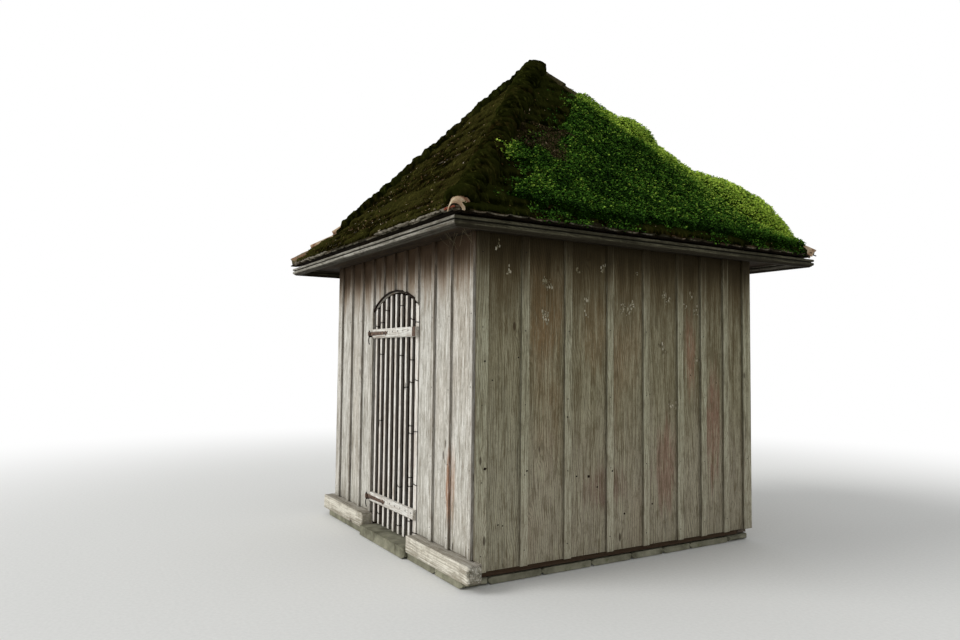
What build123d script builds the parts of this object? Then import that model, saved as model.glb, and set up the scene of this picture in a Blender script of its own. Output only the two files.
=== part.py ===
from build123d import *
import math
import os

os.makedirs("parts", exist_ok=True)

# Small timber wayside chapel, in millimetres.
# The origin is on the ground under the middle of the chapel. The gate looks toward -Y.

# Walls, measured over the outer faces of the boards
wall_width = 2830
wall_length = 2990
board_thick = 24
batten_thick = 22
batten_width = 48
side_batten_width = 70
corner_strip_width = 108
boards_over_arch = 355
side_board_drop = 93

# Widths of the boards that show between two battens, in order from the corner
side_board_gaps = (290, 340, 362, 326, 330, 220, 220)
back_board_gaps = (330, 300, 345, 310, 290)
right_board_gaps = (252, 232)
left_bay_count = 3
over_bay_count = 4

# Ground work
footing_height = 60
footing_width = 260
footing_reveal = 12
threshold_top = 100
threshold_projection = 130
threshold_worn_edge = 30
floor_gap = 3

# Timber frame
sill_height = 140
sill_projection = 105
sill_end_overhang = 110
timber = 120
plate_height = 240
header_height = 110
header_gap = 40

# Doorway with its segmental head
door_center_x = 15
door_width = 960
arch_crown_height = 2030
arch_rise = 142

# Eaves
eave_overhang = 408
soffit_thick = 20
cornice_thick = 62
cornice_height = 72
cornice_drop = 61
tile_overhang = 20

# Steps of the cornice moulding, measured back from its outer face and up or down its height
cornice_lip_height = 22
cornice_lip_bulge = 6
cornice_groove_height = 9
cornice_groove_inset = 17
cornice_band_inset = 6
cornice_band_bulge = 5
cornice_band_foot = 16
cornice_step_inset = 16
cornice_step_top = 12
cornice_step_foot = 6
cornice_foot_inset = 26

# Roof: a pyramid that kicks out flatter above the eaves
tile_edge_thick = 30
roof_thick = 100
kick_run = 370
kick_rise = 310
apex_height = 4440
rafter_width = 100
rafter_depth = 140
king_post_radius = 95
king_post_drop = 420

# Hip tiles
hip_tile_pitch = 300
hip_tile_gap = 1
hip_tile_sides = 16
hip_tile_radius_low = 72
hip_tile_radius_high = 62
hip_tile_sink = 34
hip_tile_skirt = 40
hip_row_gap = 1
cap_radius = 135
cap_top_radius = 47
cap_height = 110
cap_sink = 40

# Growth of moss and creeper on the roof: a thick carpet on the right slope that climbs over the
# far hip, where it swells into two mounds. The outline is drawn in plan, counterclockwise.
carpet_thick = 95
carpet_outline = (
    (1697, -1270),
    (1700, 1500),
    (1690, 1600),
    (1530, 1740),
    (300, 400),
    (300, 270),
    (471, 120),
    (812, -300),
    (1212, -900),
    (1357, -1000),
    (1536, -1240),
)
mound_sides = 12
mound_end_share = 0.35
mound_flank_share = 0.85

# Mounds on the hip: shares of the way up it, in plan, of foot, crown and head, and the radius
carpet_mounds = ((0.07, 0.24, 0.46, 200), (0.54, 0.62, 0.73, 135))

# Gate of upright slats on two rails
gate_hinge_gap = 27
gate_closing_gap = 12
slat_count = 9
slat_width = 38
closing_slat_width = 62
slat_depth = 26
slat_foot_gap = 15
slat_bevel = 4
arch_gap = 14
rail_height = 84
rail_thick = 32
rail_bevel = 9
rail_end_margin = 4
lower_rail_height = 106
upper_rail_drop = 177

# Strap hinges and their pintles
hinge_inset = 24
hinge_forward = 46
strap_thick = 5
strap_height = 36
strap_tip_height = 24
strap_length = 400
strap_spear_length = 46
strap_spear_height = 40
strap_bar = 13
strap_neck_height = 12
strap_shoulder = 21
strap_shoulder_height = 24
pin_radius = 6.5
pin_clearance = 0.6
eye_wall = 5.5
eye_seat_gap = 0.3
pin_standout = 14
pintle_bar = 13
pintle_depth = 110
tail_radius = 4.5
tail_drop = 34
tail_sweep = 12
tail_belly = 11
tail_belly_drop = 15
tail_hook = 7

# Lock plate at the closing side
lock_width = 58
lock_height = 82
lock_thick = 5
lock_margin = 2
lock_bevel = 2
keyhole_radius = 5
keyhole_slot = 14

# Places worked out from the sizes above
sill_top = footing_height + sill_height
board_height = arch_crown_height + boards_over_arch
front_y = -wall_length / 2
back_y = wall_length / 2
half_width = wall_width / 2
frame_x = half_width - board_thick
frame_front = front_y + board_thick
frame_back = back_y - board_thick
board_top = sill_top + board_height
side_board_foot = sill_top - side_board_drop
plate_top = board_top + soffit_thick + timber
plate_bottom = plate_top - plate_height
soffit_top = board_top + soffit_thick
door_left = door_center_x - door_width / 2
door_right = door_center_x + door_width / 2
arch_crown = sill_top + arch_crown_height
arch_spring = arch_crown - arch_rise
arch_radius = ((door_width / 2) ** 2 + arch_rise ** 2) / (2 * arch_rise)
tile_reach = eave_overhang + tile_overhang
roof_half_x = half_width + tile_reach
roof_half_y = wall_length / 2 + tile_reach
roof_edge_top = soffit_top + tile_edge_thick
apex_top = sill_top + apex_height
kick_fraction = kick_run / roof_half_x
kick_top = roof_edge_top + kick_rise
hinge_x = door_left - hinge_inset
hinge_y = front_y - hinge_forward
eye_radius = pin_radius + pin_clearance + eye_wall


def block(x0, x1, y0, y1, z0, z1):
    """A square-edged timber, board or stone between two corners."""
    middle = Pos((x0 + x1) / 2, (y0 + y1) / 2, (z0 + z1) / 2)
    return middle * Box(x1 - x0, y1 - y0, z1 - z0)


def polygon(points):
    """A flat face through points in the XY plane."""
    return make_face(Polyline(*points, close=True))


def upright(face, y0, y1):
    """A face drawn in X and Z, made solid from y0 to y1."""
    return Pos(0, y1, 0) * (Rot(90, 0, 0) * extrude(face, y1 - y0))


def pair(*pieces):
    """Like pieces that stand apart and share one node."""
    return Compound(children=list(pieces))


def save(shape, name):
    """Writes one named sub-part."""
    shape.label = name
    export_step(shape, f"parts/{name}.step")


def arch_disc(shrink):
    """The circle of the door head, drawn in X and Z, smaller by shrink."""
    return Pos(door_center_x, arch_crown - arch_radius) * Circle(arch_radius - shrink)


# Ground work


def footing_boxes():
    """Low stone footings under each sill, open at the doorway."""
    outer_x = half_width - footing_reveal
    inner_x = outer_x - footing_width
    front_face = front_y - sill_projection + footing_reveal
    inner_front = frame_front + timber + footing_reveal
    back_face = back_y - footing_reveal
    inner_back = back_face - footing_width
    side = (inner_front, inner_back, 0, footing_height)
    front = (front_face, inner_front, 0, footing_height)
    return {
        "footings_front": pair(
            block(-outer_x, door_left, *front), block(door_right, outer_x, *front)
        ),
        "footings_side": pair(block(-outer_x, -inner_x, *side), block(inner_x, outer_x, *side)),
        "footing_back": block(-outer_x, outer_x, inner_back, back_face, 0, footing_height),
    }


def threshold_stone():
    """One stone step between the two front sills, worn round along its front edge."""
    stone = block(
        door_left, door_right, front_y - threshold_projection, frame_front + timber, 0, threshold_top
    )
    front_edge = stone.edges().filter_by(Axis.X).sort_by(Axis.Y)[0:2].sort_by(Axis.Z)[-1]
    return fillet(front_edge, threshold_worn_edge)


def floor_slab():
    """The stone floor inside the footings."""
    inner_x = half_width - footing_reveal - footing_width - floor_gap
    y0 = frame_front + timber + footing_reveal + floor_gap
    y1 = back_y - footing_reveal - footing_width - floor_gap
    slab = block(-inner_x, inner_x, y0, y1, 0, threshold_top)
    tongue = block(
        door_left + floor_gap, door_right - floor_gap, frame_front + timber, y0, 0, threshold_top
    )
    return slab + tongue


# Timber frame


def sill_boxes():
    """Sill beams. The front one lies before the frame like a low bench, under the boards.

    It stops at the doorway and sticks out past both side walls.
    """
    sill_reach = half_width + sill_end_overhang
    inner_back = frame_back - timber
    front = (front_y - sill_projection, frame_front, footing_height, sill_top)
    side = (frame_front, inner_back, footing_height, sill_top)
    return {
        "sill_front_left": block(-sill_reach, door_left, *front),
        "sill_front_right": block(door_right, sill_reach, *front),
        "sill_left": block(-frame_x, -frame_x + timber, *side),
        "sill_right": block(frame_x - timber, frame_x, *side),
        "sill_back": block(-frame_x, frame_x, inner_back, frame_back, footing_height, sill_top),
    }


def corner_posts():
    """Four square corner posts between the sills and the wall plates."""
    posts = []
    for side in (-1, 1):
        x0, x1 = sorted((side * frame_x, side * (frame_x - timber)))
        for y0 in (frame_front, frame_back - timber):
            posts.append(block(x0, x1, y0, y0 + timber, sill_top, plate_bottom))
    return Compound(children=posts)


def door_posts(spikes):
    """Posts beside the doorway, down to the footing, bored for the spikes of the pintles."""
    span = (frame_front, frame_front + timber, footing_height, plate_bottom)
    left = block(door_left - timber, door_left, *span) - spikes
    right = block(door_right, door_right + timber, *span)
    return Compound(children=[left, right])


def door_header():
    """Cross timber over the arch, between the door posts."""
    z0 = arch_crown + header_gap
    return block(
        door_left, door_right, frame_front, frame_front + timber, z0, z0 + header_height
    )


def plate_boxes():
    """Deep wall plates. The front and back ones run through, the side ones fit between."""
    height = (plate_bottom, plate_top)
    inner_front = frame_front + timber
    inner_back = frame_back - timber
    return {
        "plates_front_back": pair(
            block(-frame_x, frame_x, frame_front, inner_front, *height),
            block(-frame_x, frame_x, inner_back, frame_back, *height),
        ),
        "plates_side": pair(
            block(-frame_x, -frame_x + timber, inner_front, inner_back, *height),
            block(frame_x - timber, frame_x, inner_front, inner_back, *height),
        ),
    }


# Board walls


def front_wall_boxes(spikes):
    """The front boards: one field each side of the doorway and one over it."""
    span = (front_y, frame_front)
    head = upright(arch_disc(0), *span)
    return {
        "front_wall_left": block(-half_width, door_left, *span, sill_top, board_top) - spikes,
        "front_wall_right": block(door_right, half_width, *span, sill_top, board_top),
        "front_wall_over": block(door_left, door_right, *span, arch_spring, board_top) - head,
    }


def side_wall(side):
    """Boards of a long wall, hung over the side sill from the front sill to the back wall."""
    x0, x1 = sorted((side * half_width, side * frame_x))
    return block(x0, x1, frame_front, frame_back, side_board_foot, board_top)


def back_wall():
    """Boards of the plain back wall, over the back sill."""
    return block(-half_width, half_width, frame_back, back_y, side_board_foot, board_top)


def strip_places(length, first, gaps, width):
    """Starts of the cover strips along a wall, between its two corner strips."""
    places = []
    start = first
    for index in range(len(gaps) * 2):
        start += gaps[index % len(gaps)]
        if start + width > length - corner_strip_width - width:
            break
        places.append(start)
        start += width
    return places


def front_battens(spikes):
    """Cover strips of the front, cut to the arch over the doorway."""
    span = (front_y - batten_thick, front_y)
    full = (*span, sill_top, board_top)
    strips = [block(-half_width, -half_width + corner_strip_width, *full)]
    strips.append(block(half_width - batten_width, half_width, *full))
    left_start = -half_width + corner_strip_width
    bay = (door_left - left_start) / left_bay_count
    for index in range(1, left_bay_count + 1):
        edge = left_start + bay * index
        strips.append(block(edge - batten_width, edge, *full) - spikes)
    over_bay = door_width / over_bay_count
    head = upright(arch_disc(0), *span)
    for index in range(1, over_bay_count + 1):
        edge = door_left + over_bay * index
        strips.append(block(edge - batten_width, edge, *span, arch_spring, board_top) - head)
    start = door_right
    for gap in right_board_gaps:
        start += gap
        if start + batten_width < half_width - batten_width:
            strips.append(block(start, start + batten_width, *full))
        start += batten_width
    return Compound(children=strips)


def side_battens(side, sills):
    """Cover strips of a long wall. The first one is notched over the end of the front sill."""
    x0, x1 = sorted((side * half_width, side * (half_width + batten_thick)))
    strips = []
    places = strip_places(wall_length, corner_strip_width, side_board_gaps, side_batten_width)
    widths = [(0, corner_strip_width)] + [(place, side_batten_width) for place in places]
    widths.append((wall_length - corner_strip_width, corner_strip_width))
    for start, width in widths:
        y0 = front_y + start
        strip = block(x0, x1, y0, y0 + width, side_board_foot, board_top)
        strips.append(strip - sills["sill_front_left"] - sills["sill_front_right"])
    return Compound(children=strips)


def back_battens():
    """Cover strips of the back wall."""
    span = (back_y, back_y + batten_thick, side_board_foot, board_top)
    places = strip_places(wall_width, corner_strip_width, back_board_gaps, side_batten_width)
    strips = [block(-half_width, -half_width + corner_strip_width, *span)]
    strips.append(block(half_width - corner_strip_width, half_width, *span))
    for place in places:
        x0 = place - half_width
        strips.append(block(x0, x0 + side_batten_width, *span))
    return Compound(children=strips)


# Eaves


def mitred_side(direction, inner, outer, z0, z1):
    """One side of a flat ring around the building, mitred at its corners.

    inner and outer are the half sizes of the ring in X and Y.
    """
    (ix, iy), (ox, oy) = inner, outer
    inside = {"right": (ix, -iy), "back": (ix, iy), "left": (-ix, iy), "front": (-ix, -iy)}
    outside = {"right": (ox, -oy), "back": (ox, oy), "left": (-ox, oy), "front": (-ox, -oy)}
    order = ("front", "right", "back", "left")
    follower = order[(order.index(direction) + 1) % 4]
    face = polygon(
        [outside[direction], outside[follower], inside[follower], inside[direction]]
    )
    return Pos(0, 0, z0) * extrude(face, z1 - z0)


def half_plan(reach):
    """Half sizes of the building's plan with an overhang."""
    return half_width + reach, wall_length / 2 + reach


def soffit(direction):
    """Flat eaves boards from the wall plate out to the back of the cornice."""
    inner = half_plan(-board_thick)
    outer = half_plan(eave_overhang - cornice_thick)
    return mitred_side(direction, inner, outer, board_top, soffit_top)


def cornice_profile():
    """Section of the moulded cornice: a rounded lip, a groove, a rounded band and a stepped foot.

    It is drawn outward from the back face (x = 0) and up from its lower edge.
    """
    lip_foot = cornice_height - cornice_lip_height
    lip_x = cornice_thick - cornice_lip_bulge
    band_top = lip_foot - cornice_groove_height
    foot_x = cornice_thick - cornice_foot_inset
    step_x = cornice_thick - cornice_step_inset
    band_x = cornice_thick - cornice_band_inset
    groove_x = cornice_thick - cornice_groove_inset
    outline = Polyline(
        (0, 0),
        (foot_x, 0),
        (foot_x, cornice_step_foot),
        (step_x, cornice_step_foot),
        (step_x, cornice_step_top),
        (band_x, cornice_band_foot),
    )
    bulge = (band_x + cornice_band_bulge, (cornice_band_foot + band_top) / 2)
    round_band = ThreePointArc((band_x, cornice_band_foot), bulge, (band_x, band_top))
    groove = Polyline(
        (band_x, band_top), (groove_x, band_top), (groove_x, lip_foot), (lip_x, lip_foot)
    )
    lip_middle = (cornice_thick, (lip_foot + cornice_height) / 2)
    round_lip = ThreePointArc((lip_x, lip_foot), lip_middle, (lip_x, cornice_height))
    back = Polyline((lip_x, cornice_height), (0, cornice_height), (0, 0))
    return make_face(Curve() + [outline, round_band, groove, round_lip, back])


def cornice(direction):
    """One side of the moulded cornice, mitred at the corners."""
    z0 = board_top - cornice_drop
    back_x, back_y_face = half_plan(eave_overhang - cornice_thick)
    along = 2 * (max(back_x, back_y_face) + cornice_thick)
    bar = extrude(Plane.XZ * cornice_profile(), along / 2, both=True)
    turn = {"right": 0, "back": 90, "left": 180, "front": 270}[direction]
    reach = back_x if direction in ("left", "right") else back_y_face
    bar = Rot(0, 0, turn) * (Pos(reach, 0, z0) * bar)
    outer = half_plan(eave_overhang)
    piece = mitred_side(direction, (back_x, back_y_face), outer, z0, z0 + cornice_height)
    return bar & piece


# Roof


def roof_section(half_span):
    """Section of one slope across the plan, drawn as distance out from the middle and height.

    The tiles kick out at the eaves. The underside is flat where it rests on the soffit.
    """
    kick_x = half_span * (1 - kick_fraction)
    seat_run = half_span * kick_fraction * (
        (soffit_top + roof_thick - roof_edge_top) / kick_rise
    )
    return polygon(
        [
            (half_span, soffit_top),
            (half_span, roof_edge_top),
            (kick_x, kick_top),
            (0, apex_top),
            (0, apex_top - roof_thick),
            (kick_x, kick_top - roof_thick),
            (half_span - seat_run, soffit_top),
        ]
    )


def carpet_section(half_span):
    """Section of the growth on one slope: the top of the slab and the same line raised."""
    kick_x = half_span * (1 - kick_fraction)
    line = [(half_span, roof_edge_top), (kick_x, kick_top), (0, apex_top)]
    return polygon(line + [(x, z + carpet_thick) for x, z in reversed(line)])


def roof_slope(direction, section=roof_section):
    """One slope of the roof, or of the growth that lies on it, mitred along the hips."""
    along_x = direction in ("left", "right")
    half_span = roof_half_x if along_x else roof_half_y
    half_eave = roof_half_y if along_x else roof_half_x
    slab = extrude(Plane.XZ * section(half_span), half_eave, both=True)
    wedge = extrude(
        polygon([(0, 0), (half_span, -half_eave), (half_span, half_eave)]), apex_top
    )
    turn = {"right": 0, "back": 90, "left": 180, "front": 270}[direction]
    return Rot(0, 0, turn) * (slab & wedge)


def hip_angle(sign_x, sign_y):
    """Heading of a hip in plan, from the middle toward its corner."""
    return math.degrees(math.atan2(sign_y * roof_half_y, sign_x * roof_half_x))


CORNERS = ((1, -1), (1, 1), (-1, 1), (-1, -1))


def hip_rafters(slopes, king):
    """Four hip rafters from the plates up to the king post, bevelled to the slopes."""
    span = math.hypot(roof_half_x, roof_half_y)
    kick_out = span * (1 - kick_fraction)
    rise = (apex_top - kick_top) / kick_out
    drop = roof_thick + rafter_depth * math.hypot(1, rise)
    foot_out = (apex_top - drop - plate_top) / rise
    top_z = apex_top - roof_thick / 2
    top_out = (top_z - plate_top) / rise
    face = polygon(
        [
            (0, top_z),
            (0, apex_top - drop),
            (foot_out, plate_top),
            (top_out, plate_top),
        ]
    )
    bar = extrude(Plane.XZ * face, rafter_width / 2, both=True)
    rafters = []
    for sign_x, sign_y in CORNERS:
        rafter = Rot(0, 0, hip_angle(sign_x, sign_y)) * bar
        for slope in slopes:
            rafter = rafter - slope
        rafter = rafter - king
        rafters.append(rafter.solids().sort_by(SortBy.VOLUME)[-1])
    return Compound(children=rafters)


def king_post(slopes):
    """Short eight-sided post under the peak that the hip rafters lean on."""
    face = RegularPolygon(king_post_radius, 8, rotation=22.5)
    top = apex_top - roof_thick / 2
    foot = apex_top - roof_thick - king_post_drop
    post = Pos(0, 0, foot) * extrude(face, top - foot)
    for slope in slopes:
        post = post - slope
    return post.solids().sort_by(SortBy.VOLUME)[-1]


def hip_tile(length):
    """A tapering half-round tile with its mortar bed, lying along +Z, wide end down."""
    taper = math.degrees(math.atan2(hip_tile_radius_low - hip_tile_radius_high, length))
    body = extrude(RegularPolygon(hip_tile_radius_low, hip_tile_sides), length, taper=taper)
    reach = 4 * hip_tile_radius_low
    return body & block(-reach, reach, -hip_tile_skirt, reach, 0, length)


def hip_line():
    """The hip seen from the side: points from the eave up to the peak, as run and height."""
    span = math.hypot(roof_half_x, roof_half_y)
    return (
        (span, roof_edge_top),
        (span * (1 - kick_fraction), kick_top),
        (0, apex_top),
    )


def laid_on_hip(piece, start, tilt, sign_x, sign_y):
    """A piece drawn along +Z with its top at +Y, laid up a hip from a point of it."""
    out, height = start
    piece = Rot(0, -tilt, 0) * (Rot(0, 0, -90) * piece)
    return Rot(0, 0, hip_angle(sign_x, sign_y)) * (Pos(out, 0, height) * piece)


def hip_row(sign_x, sign_y, slopes, cap):
    """The row of half-round tiles on one hip, each a separate solid, cut to the slopes."""
    foot, kick, peak = hip_line()
    x0, x1 = sorted((sign_x * hip_row_gap, sign_x * roof_half_x))
    y0, y1 = sorted((sign_y * hip_row_gap, sign_y * roof_half_y))
    corner = block(x0, x1, y0, y1, soffit_top, apex_top + cap_height)
    tiles = []
    for start, end in ((foot, kick), (kick, peak)):
        run = start[0] - end[0]
        rise = end[1] - start[1]
        length = math.hypot(run, rise)
        count = max(1, round(length / hip_tile_pitch))
        pitch = length / count
        tilt = math.degrees(math.atan2(run, rise))
        for index in range(count):
            part = index / count
            place = (start[0] - run * part, start[1] + rise * part)
            tile = Pos(0, -hip_tile_sink, 0) * hip_tile(pitch - hip_tile_gap)
            tile = laid_on_hip(tile, place, tilt, sign_x, sign_y) & corner
            for slope in slopes:
                tile = tile - slope
            tile = tile - cap
            pieces = tile.solids().sort_by(Axis.Z)
            if pieces:
                tiles.append(pieces[-1])
    return tiles


def apex_cap(slopes):
    """A round bedded cap where the four hips meet."""
    base = apex_top - cap_sink - cap_radius
    cap = Pos(0, 0, base) * Cone(
        cap_radius, cap_top_radius, cap_radius + cap_height,
        align=(Align.CENTER, Align.CENTER, Align.MIN),
    )
    for slope in slopes:
        cap = cap - slope
    return cap.solids().sort_by(Axis.Z)[-1]


# Growth on the roof


def hip_point(share):
    """A point of the hip, a share of the way in from the eave, as run and height."""
    foot, kick, peak = hip_line()
    start, end = (foot, kick) if share < kick_fraction else (kick, peak)
    out = foot[0] * (1 - share)
    part = (start[0] - out) / (start[0] - end[0])
    return out, start[1] + (end[1] - start[1]) * part


def carpet_mound(foot_share, crown_share, head_share, radius):
    """A swelling of the growth along the far right hip, like a spindle laid on it."""
    foot, head = hip_point(foot_share), hip_point(head_share)
    run, rise = foot[0] - head[0], head[1] - foot[1]
    length = math.hypot(run, rise)
    crown = length * (crown_share - foot_share) / (head_share - foot_share)
    rings = (
        (0, mound_end_share),
        (crown / 2, mound_flank_share),
        (crown, 1),
        ((crown + length) / 2, mound_flank_share),
        (length, mound_end_share),
    )
    spindle = loft(
        [Pos(0, 0, place) * RegularPolygon(radius * share, mound_sides) for place, share in rings],
        ruled=True,
    )
    return laid_on_hip(spindle, foot, math.degrees(math.atan2(run, rise)), 1, 1)


def moss_carpet(slopes, tiles, cap):
    """The carpet of growth, laid on the right and back slopes over the hip tiles."""
    prism = extrude(polygon(carpet_outline), apex_top)
    layer = roof_slope("right", carpet_section) + roof_slope("back", carpet_section)
    carpet = layer & prism
    for mound in carpet_mounds:
        carpet = carpet + carpet_mound(*mound)
    for piece in (*slopes, *tiles, cap):
        carpet = carpet - piece
    return carpet.solids().sort_by(SortBy.VOLUME)[-1]


# Gate


def slat_places():
    """Centres and widths of the upright slats, with a wider one at the closing side."""
    first = door_left + gate_hinge_gap + slat_width / 2
    last = door_right - gate_closing_gap - closing_slat_width / 2
    pitch = (last - first) / (slat_count - 1)
    places = [(first + pitch * index, slat_width) for index in range(slat_count - 1)]
    return [*places, (last, closing_slat_width)]


def gate_slats():
    """Upright slats with eased edges, their heads cut to follow the arch."""
    y0, y1 = front_y, front_y + slat_depth
    over_arch = block(door_left, door_right, y0, y1, arch_crown - 2 * arch_rise, arch_crown)
    over_arch = over_arch - upright(arch_disc(arch_gap), y0, y1)
    slats = []
    for center, width in slat_places():
        foot = threshold_top + slat_foot_gap
        slat = block(center - width / 2, center + width / 2, y0, y1, foot, arch_crown)
        slat = chamfer(slat.edges().filter_by(Axis.Z), slat_bevel)
        slats.append(slat - over_arch)
    return Compound(children=slats)


def rail_span():
    """Left and right ends of the rails, just past the outer slats."""
    places = slat_places()
    left = places[0][0] - places[0][1] / 2 - rail_end_margin
    right = places[-1][0] + places[-1][1] / 2 + rail_end_margin
    return left, right


def rail_heights():
    """Feet of the lower and the upper rail."""
    return sill_top + lower_rail_height, arch_spring - upper_rail_drop - rail_height


def gate_rails():
    """Two rails across the front of the slats, bevelled along their lower front edge."""
    left, right = rail_span()
    rails = []
    for foot in rail_heights():
        rail = block(left, right, front_y - rail_thick, front_y, foot, foot + rail_height)
        lower_front = rail.edges().filter_by(Axis.X).group_by(Axis.Z)[0].sort_by(Axis.Y)[0]
        rail = chamfer(lower_front, rail_bevel)
        upper_front = rail.edges().filter_by(Axis.X).group_by(Axis.Z)[-1].sort_by(Axis.Y)[0]
        rails.append(chamfer(upper_front, rail_bevel / 3))
    return Compound(children=rails)


def strap_outline():
    """Front view of one strap: a slow taper that ends in a cross bar and a spear point."""
    half = strap_height / 2
    tip_half = strap_tip_height / 2
    neck = strap_length - strap_spear_length
    neck_half = strap_neck_height / 2
    spear_half = strap_spear_height / 2
    shoulder = neck + strap_shoulder
    shoulder_half = strap_shoulder_height / 2
    return polygon(
        [
            (0, -half),
            (neck, -tip_half),
            (neck, -spear_half),
            (neck + strap_bar, -spear_half),
            (neck + strap_bar, -neck_half),
            (shoulder, -shoulder_half),
            (strap_length, 0),
            (shoulder, shoulder_half),
            (neck + strap_bar, neck_half),
            (neck + strap_bar, spear_half),
            (neck, spear_half),
            (neck, tip_half),
            (0, half),
        ]
    )


def strap_middles():
    """Heights of the two strap hinges, on the middle of the rails."""
    return [foot + rail_height / 2 for foot in rail_heights()]


def strap_hinge(middle):
    """An iron strap on the face of a rail, with an eye rolled round the pin."""
    face_y = front_y - rail_thick
    plate = Pos(hinge_x, 0, middle) * upright(strap_outline(), face_y - strap_thick, face_y)
    bottom = middle - strap_height / 2
    barrel = Pos(hinge_x, hinge_y, bottom) * extrude(Circle(eye_radius), strap_height)
    bore = Pos(hinge_x, hinge_y, bottom) * extrude(
        Circle(pin_radius + pin_clearance), strap_height
    )
    return plate + barrel - bore


def strap_hinges():
    """The lower and the upper strap hinge."""
    return Compound(children=[strap_hinge(middle) for middle in strap_middles()])


def pintle_spike(middle):
    """The square spike of a pintle, driven through strip and boards into the door post."""
    top = middle - strap_height / 2 - eye_seat_gap
    half = pintle_bar / 2
    return block(
        hinge_x - half, hinge_x + half, hinge_y, hinge_y + pintle_depth, top - pintle_bar, top
    )


def pintle_tail(middle):
    """The wrought tail that curls down below a pintle, ending in a small hook."""
    top = middle - strap_height / 2 - eye_seat_gap - pintle_bar
    start = (0, 0)
    bend = (-tail_sweep, -tail_drop)
    hook = (tail_hook, -2 * tail_drop)
    first = ThreePointArc(start, (-tail_belly, -tail_belly_drop), bend)
    second = TangentArc(bend, hook, tangent=first % 1)
    path = Plane.XZ * (Curve() + [first, second])
    path = Pos(hinge_x, hinge_y, top) * path
    section = Plane(path @ 0, z_dir=path % 0) * Circle(tail_radius)
    return sweep(section, path)


def pintles():
    """Two pintles: spike, upright pin and curled tail."""
    pieces = []
    for middle in strap_middles():
        spike = pintle_spike(middle)
        pin_foot = spike.bounding_box().max.Z - pintle_bar
        pin_top = middle + strap_height / 2 + pin_standout
        pin = Pos(hinge_x, hinge_y, pin_foot) * extrude(Circle(pin_radius), pin_top - pin_foot)
        piece = spike + pin + pintle_tail(middle)
        pieces.append(piece)
    return Compound(children=pieces)


def lock_plate():
    """A worn iron lock plate with a keyhole, at the closing end of the upper rail."""
    right = rail_span()[1] - lock_margin
    middle = strap_middles()[-1]
    face_y = front_y - rail_thick
    plate = block(
        right - lock_width, right, face_y - lock_thick, face_y,
        middle - lock_height / 2, middle + lock_height / 2,
    )
    plate = chamfer(plate.faces().sort_by(Axis.Y)[0].edges(), lock_bevel)
    eye = Pos(right - lock_width / 2, middle) * Circle(keyhole_radius)
    slot = Pos(right - lock_width / 2, middle - keyhole_slot / 2) * Rectangle(
        keyhole_radius, keyhole_slot
    )
    return plate - upright(eye + slot, face_y - lock_thick, face_y)


# The whole chapel

sides = ("front", "right", "back", "left")
spikes = Compound(children=[pintle_spike(middle) for middle in strap_middles()])
sills = sill_boxes()
slopes = {name: roof_slope(name) for name in sides}
soffits = {name: soffit(name) for name in sides}
king = king_post(slopes.values())
cap = apex_cap(slopes.values())
tiles = [
    tile for signs in CORNERS for tile in hip_row(*signs, slopes.values(), cap)
]

for name, piece in {
    **footing_boxes(), **sills, **plate_boxes(), **front_wall_boxes(spikes)
}.items():
    save(piece, name)

save(threshold_stone(), "threshold_stone")
save(floor_slab(), "floor_slab")
save(corner_posts(), "corner_posts")
save(door_posts(spikes), "door_posts")
save(door_header(), "door_header")
save(side_wall(1), "right_wall")
save(side_wall(-1), "left_wall")
save(back_wall(), "back_wall")
save(front_battens(spikes), "front_battens")
save(side_battens(1, sills), "right_battens")
save(side_battens(-1, sills), "left_battens")
save(back_battens(), "back_battens")

save(pair(soffits["front"], soffits["back"]), "soffits_front_back")
save(pair(soffits["left"], soffits["right"]), "soffits_side")
for name in sides:
    save(cornice(name), f"cornice_{name}")
    save(slopes[name], f"roof_{name}")

save(king, "king_post")
save(hip_rafters(slopes.values(), king), "hip_rafters")
save(cap, "apex_cap")
save(Compound(children=tiles), "hip_tiles")
save(moss_carpet(slopes.values(), tiles, cap), "moss_carpet")

save(gate_slats(), "gate_slats")
save(gate_rails(), "gate_rails")
save(strap_hinges(), "strap_hinges")
save(lock_plate(), "lock_plate")
save(pintles(), "pintles")
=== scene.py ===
import math

import bpy
import numpy as np
from mathutils import Matrix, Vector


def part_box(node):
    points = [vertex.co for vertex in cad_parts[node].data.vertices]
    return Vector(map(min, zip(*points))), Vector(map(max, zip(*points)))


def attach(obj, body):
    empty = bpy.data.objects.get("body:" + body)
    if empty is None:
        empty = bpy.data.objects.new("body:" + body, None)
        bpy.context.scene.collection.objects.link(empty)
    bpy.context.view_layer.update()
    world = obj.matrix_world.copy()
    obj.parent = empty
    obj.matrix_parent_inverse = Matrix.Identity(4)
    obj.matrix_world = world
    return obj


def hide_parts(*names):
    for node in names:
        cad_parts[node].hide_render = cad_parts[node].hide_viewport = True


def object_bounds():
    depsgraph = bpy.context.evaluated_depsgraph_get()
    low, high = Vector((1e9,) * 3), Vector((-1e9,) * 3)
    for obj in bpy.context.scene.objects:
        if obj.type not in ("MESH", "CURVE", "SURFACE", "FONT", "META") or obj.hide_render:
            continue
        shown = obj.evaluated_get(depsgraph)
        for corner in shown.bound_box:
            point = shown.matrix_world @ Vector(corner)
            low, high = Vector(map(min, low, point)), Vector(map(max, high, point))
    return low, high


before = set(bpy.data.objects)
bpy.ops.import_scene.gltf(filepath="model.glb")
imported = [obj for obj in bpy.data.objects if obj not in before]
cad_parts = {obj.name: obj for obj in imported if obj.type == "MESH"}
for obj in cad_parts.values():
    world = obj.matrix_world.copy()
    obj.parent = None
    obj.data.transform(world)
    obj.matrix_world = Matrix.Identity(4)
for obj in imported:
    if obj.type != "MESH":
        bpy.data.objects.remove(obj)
cad_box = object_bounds()

# Sizes are in metres. The gate looks toward -Y and the plain wall of the main view is at +X.
LOW, HIGH = (np.array(corner) for corner in cad_box)

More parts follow.
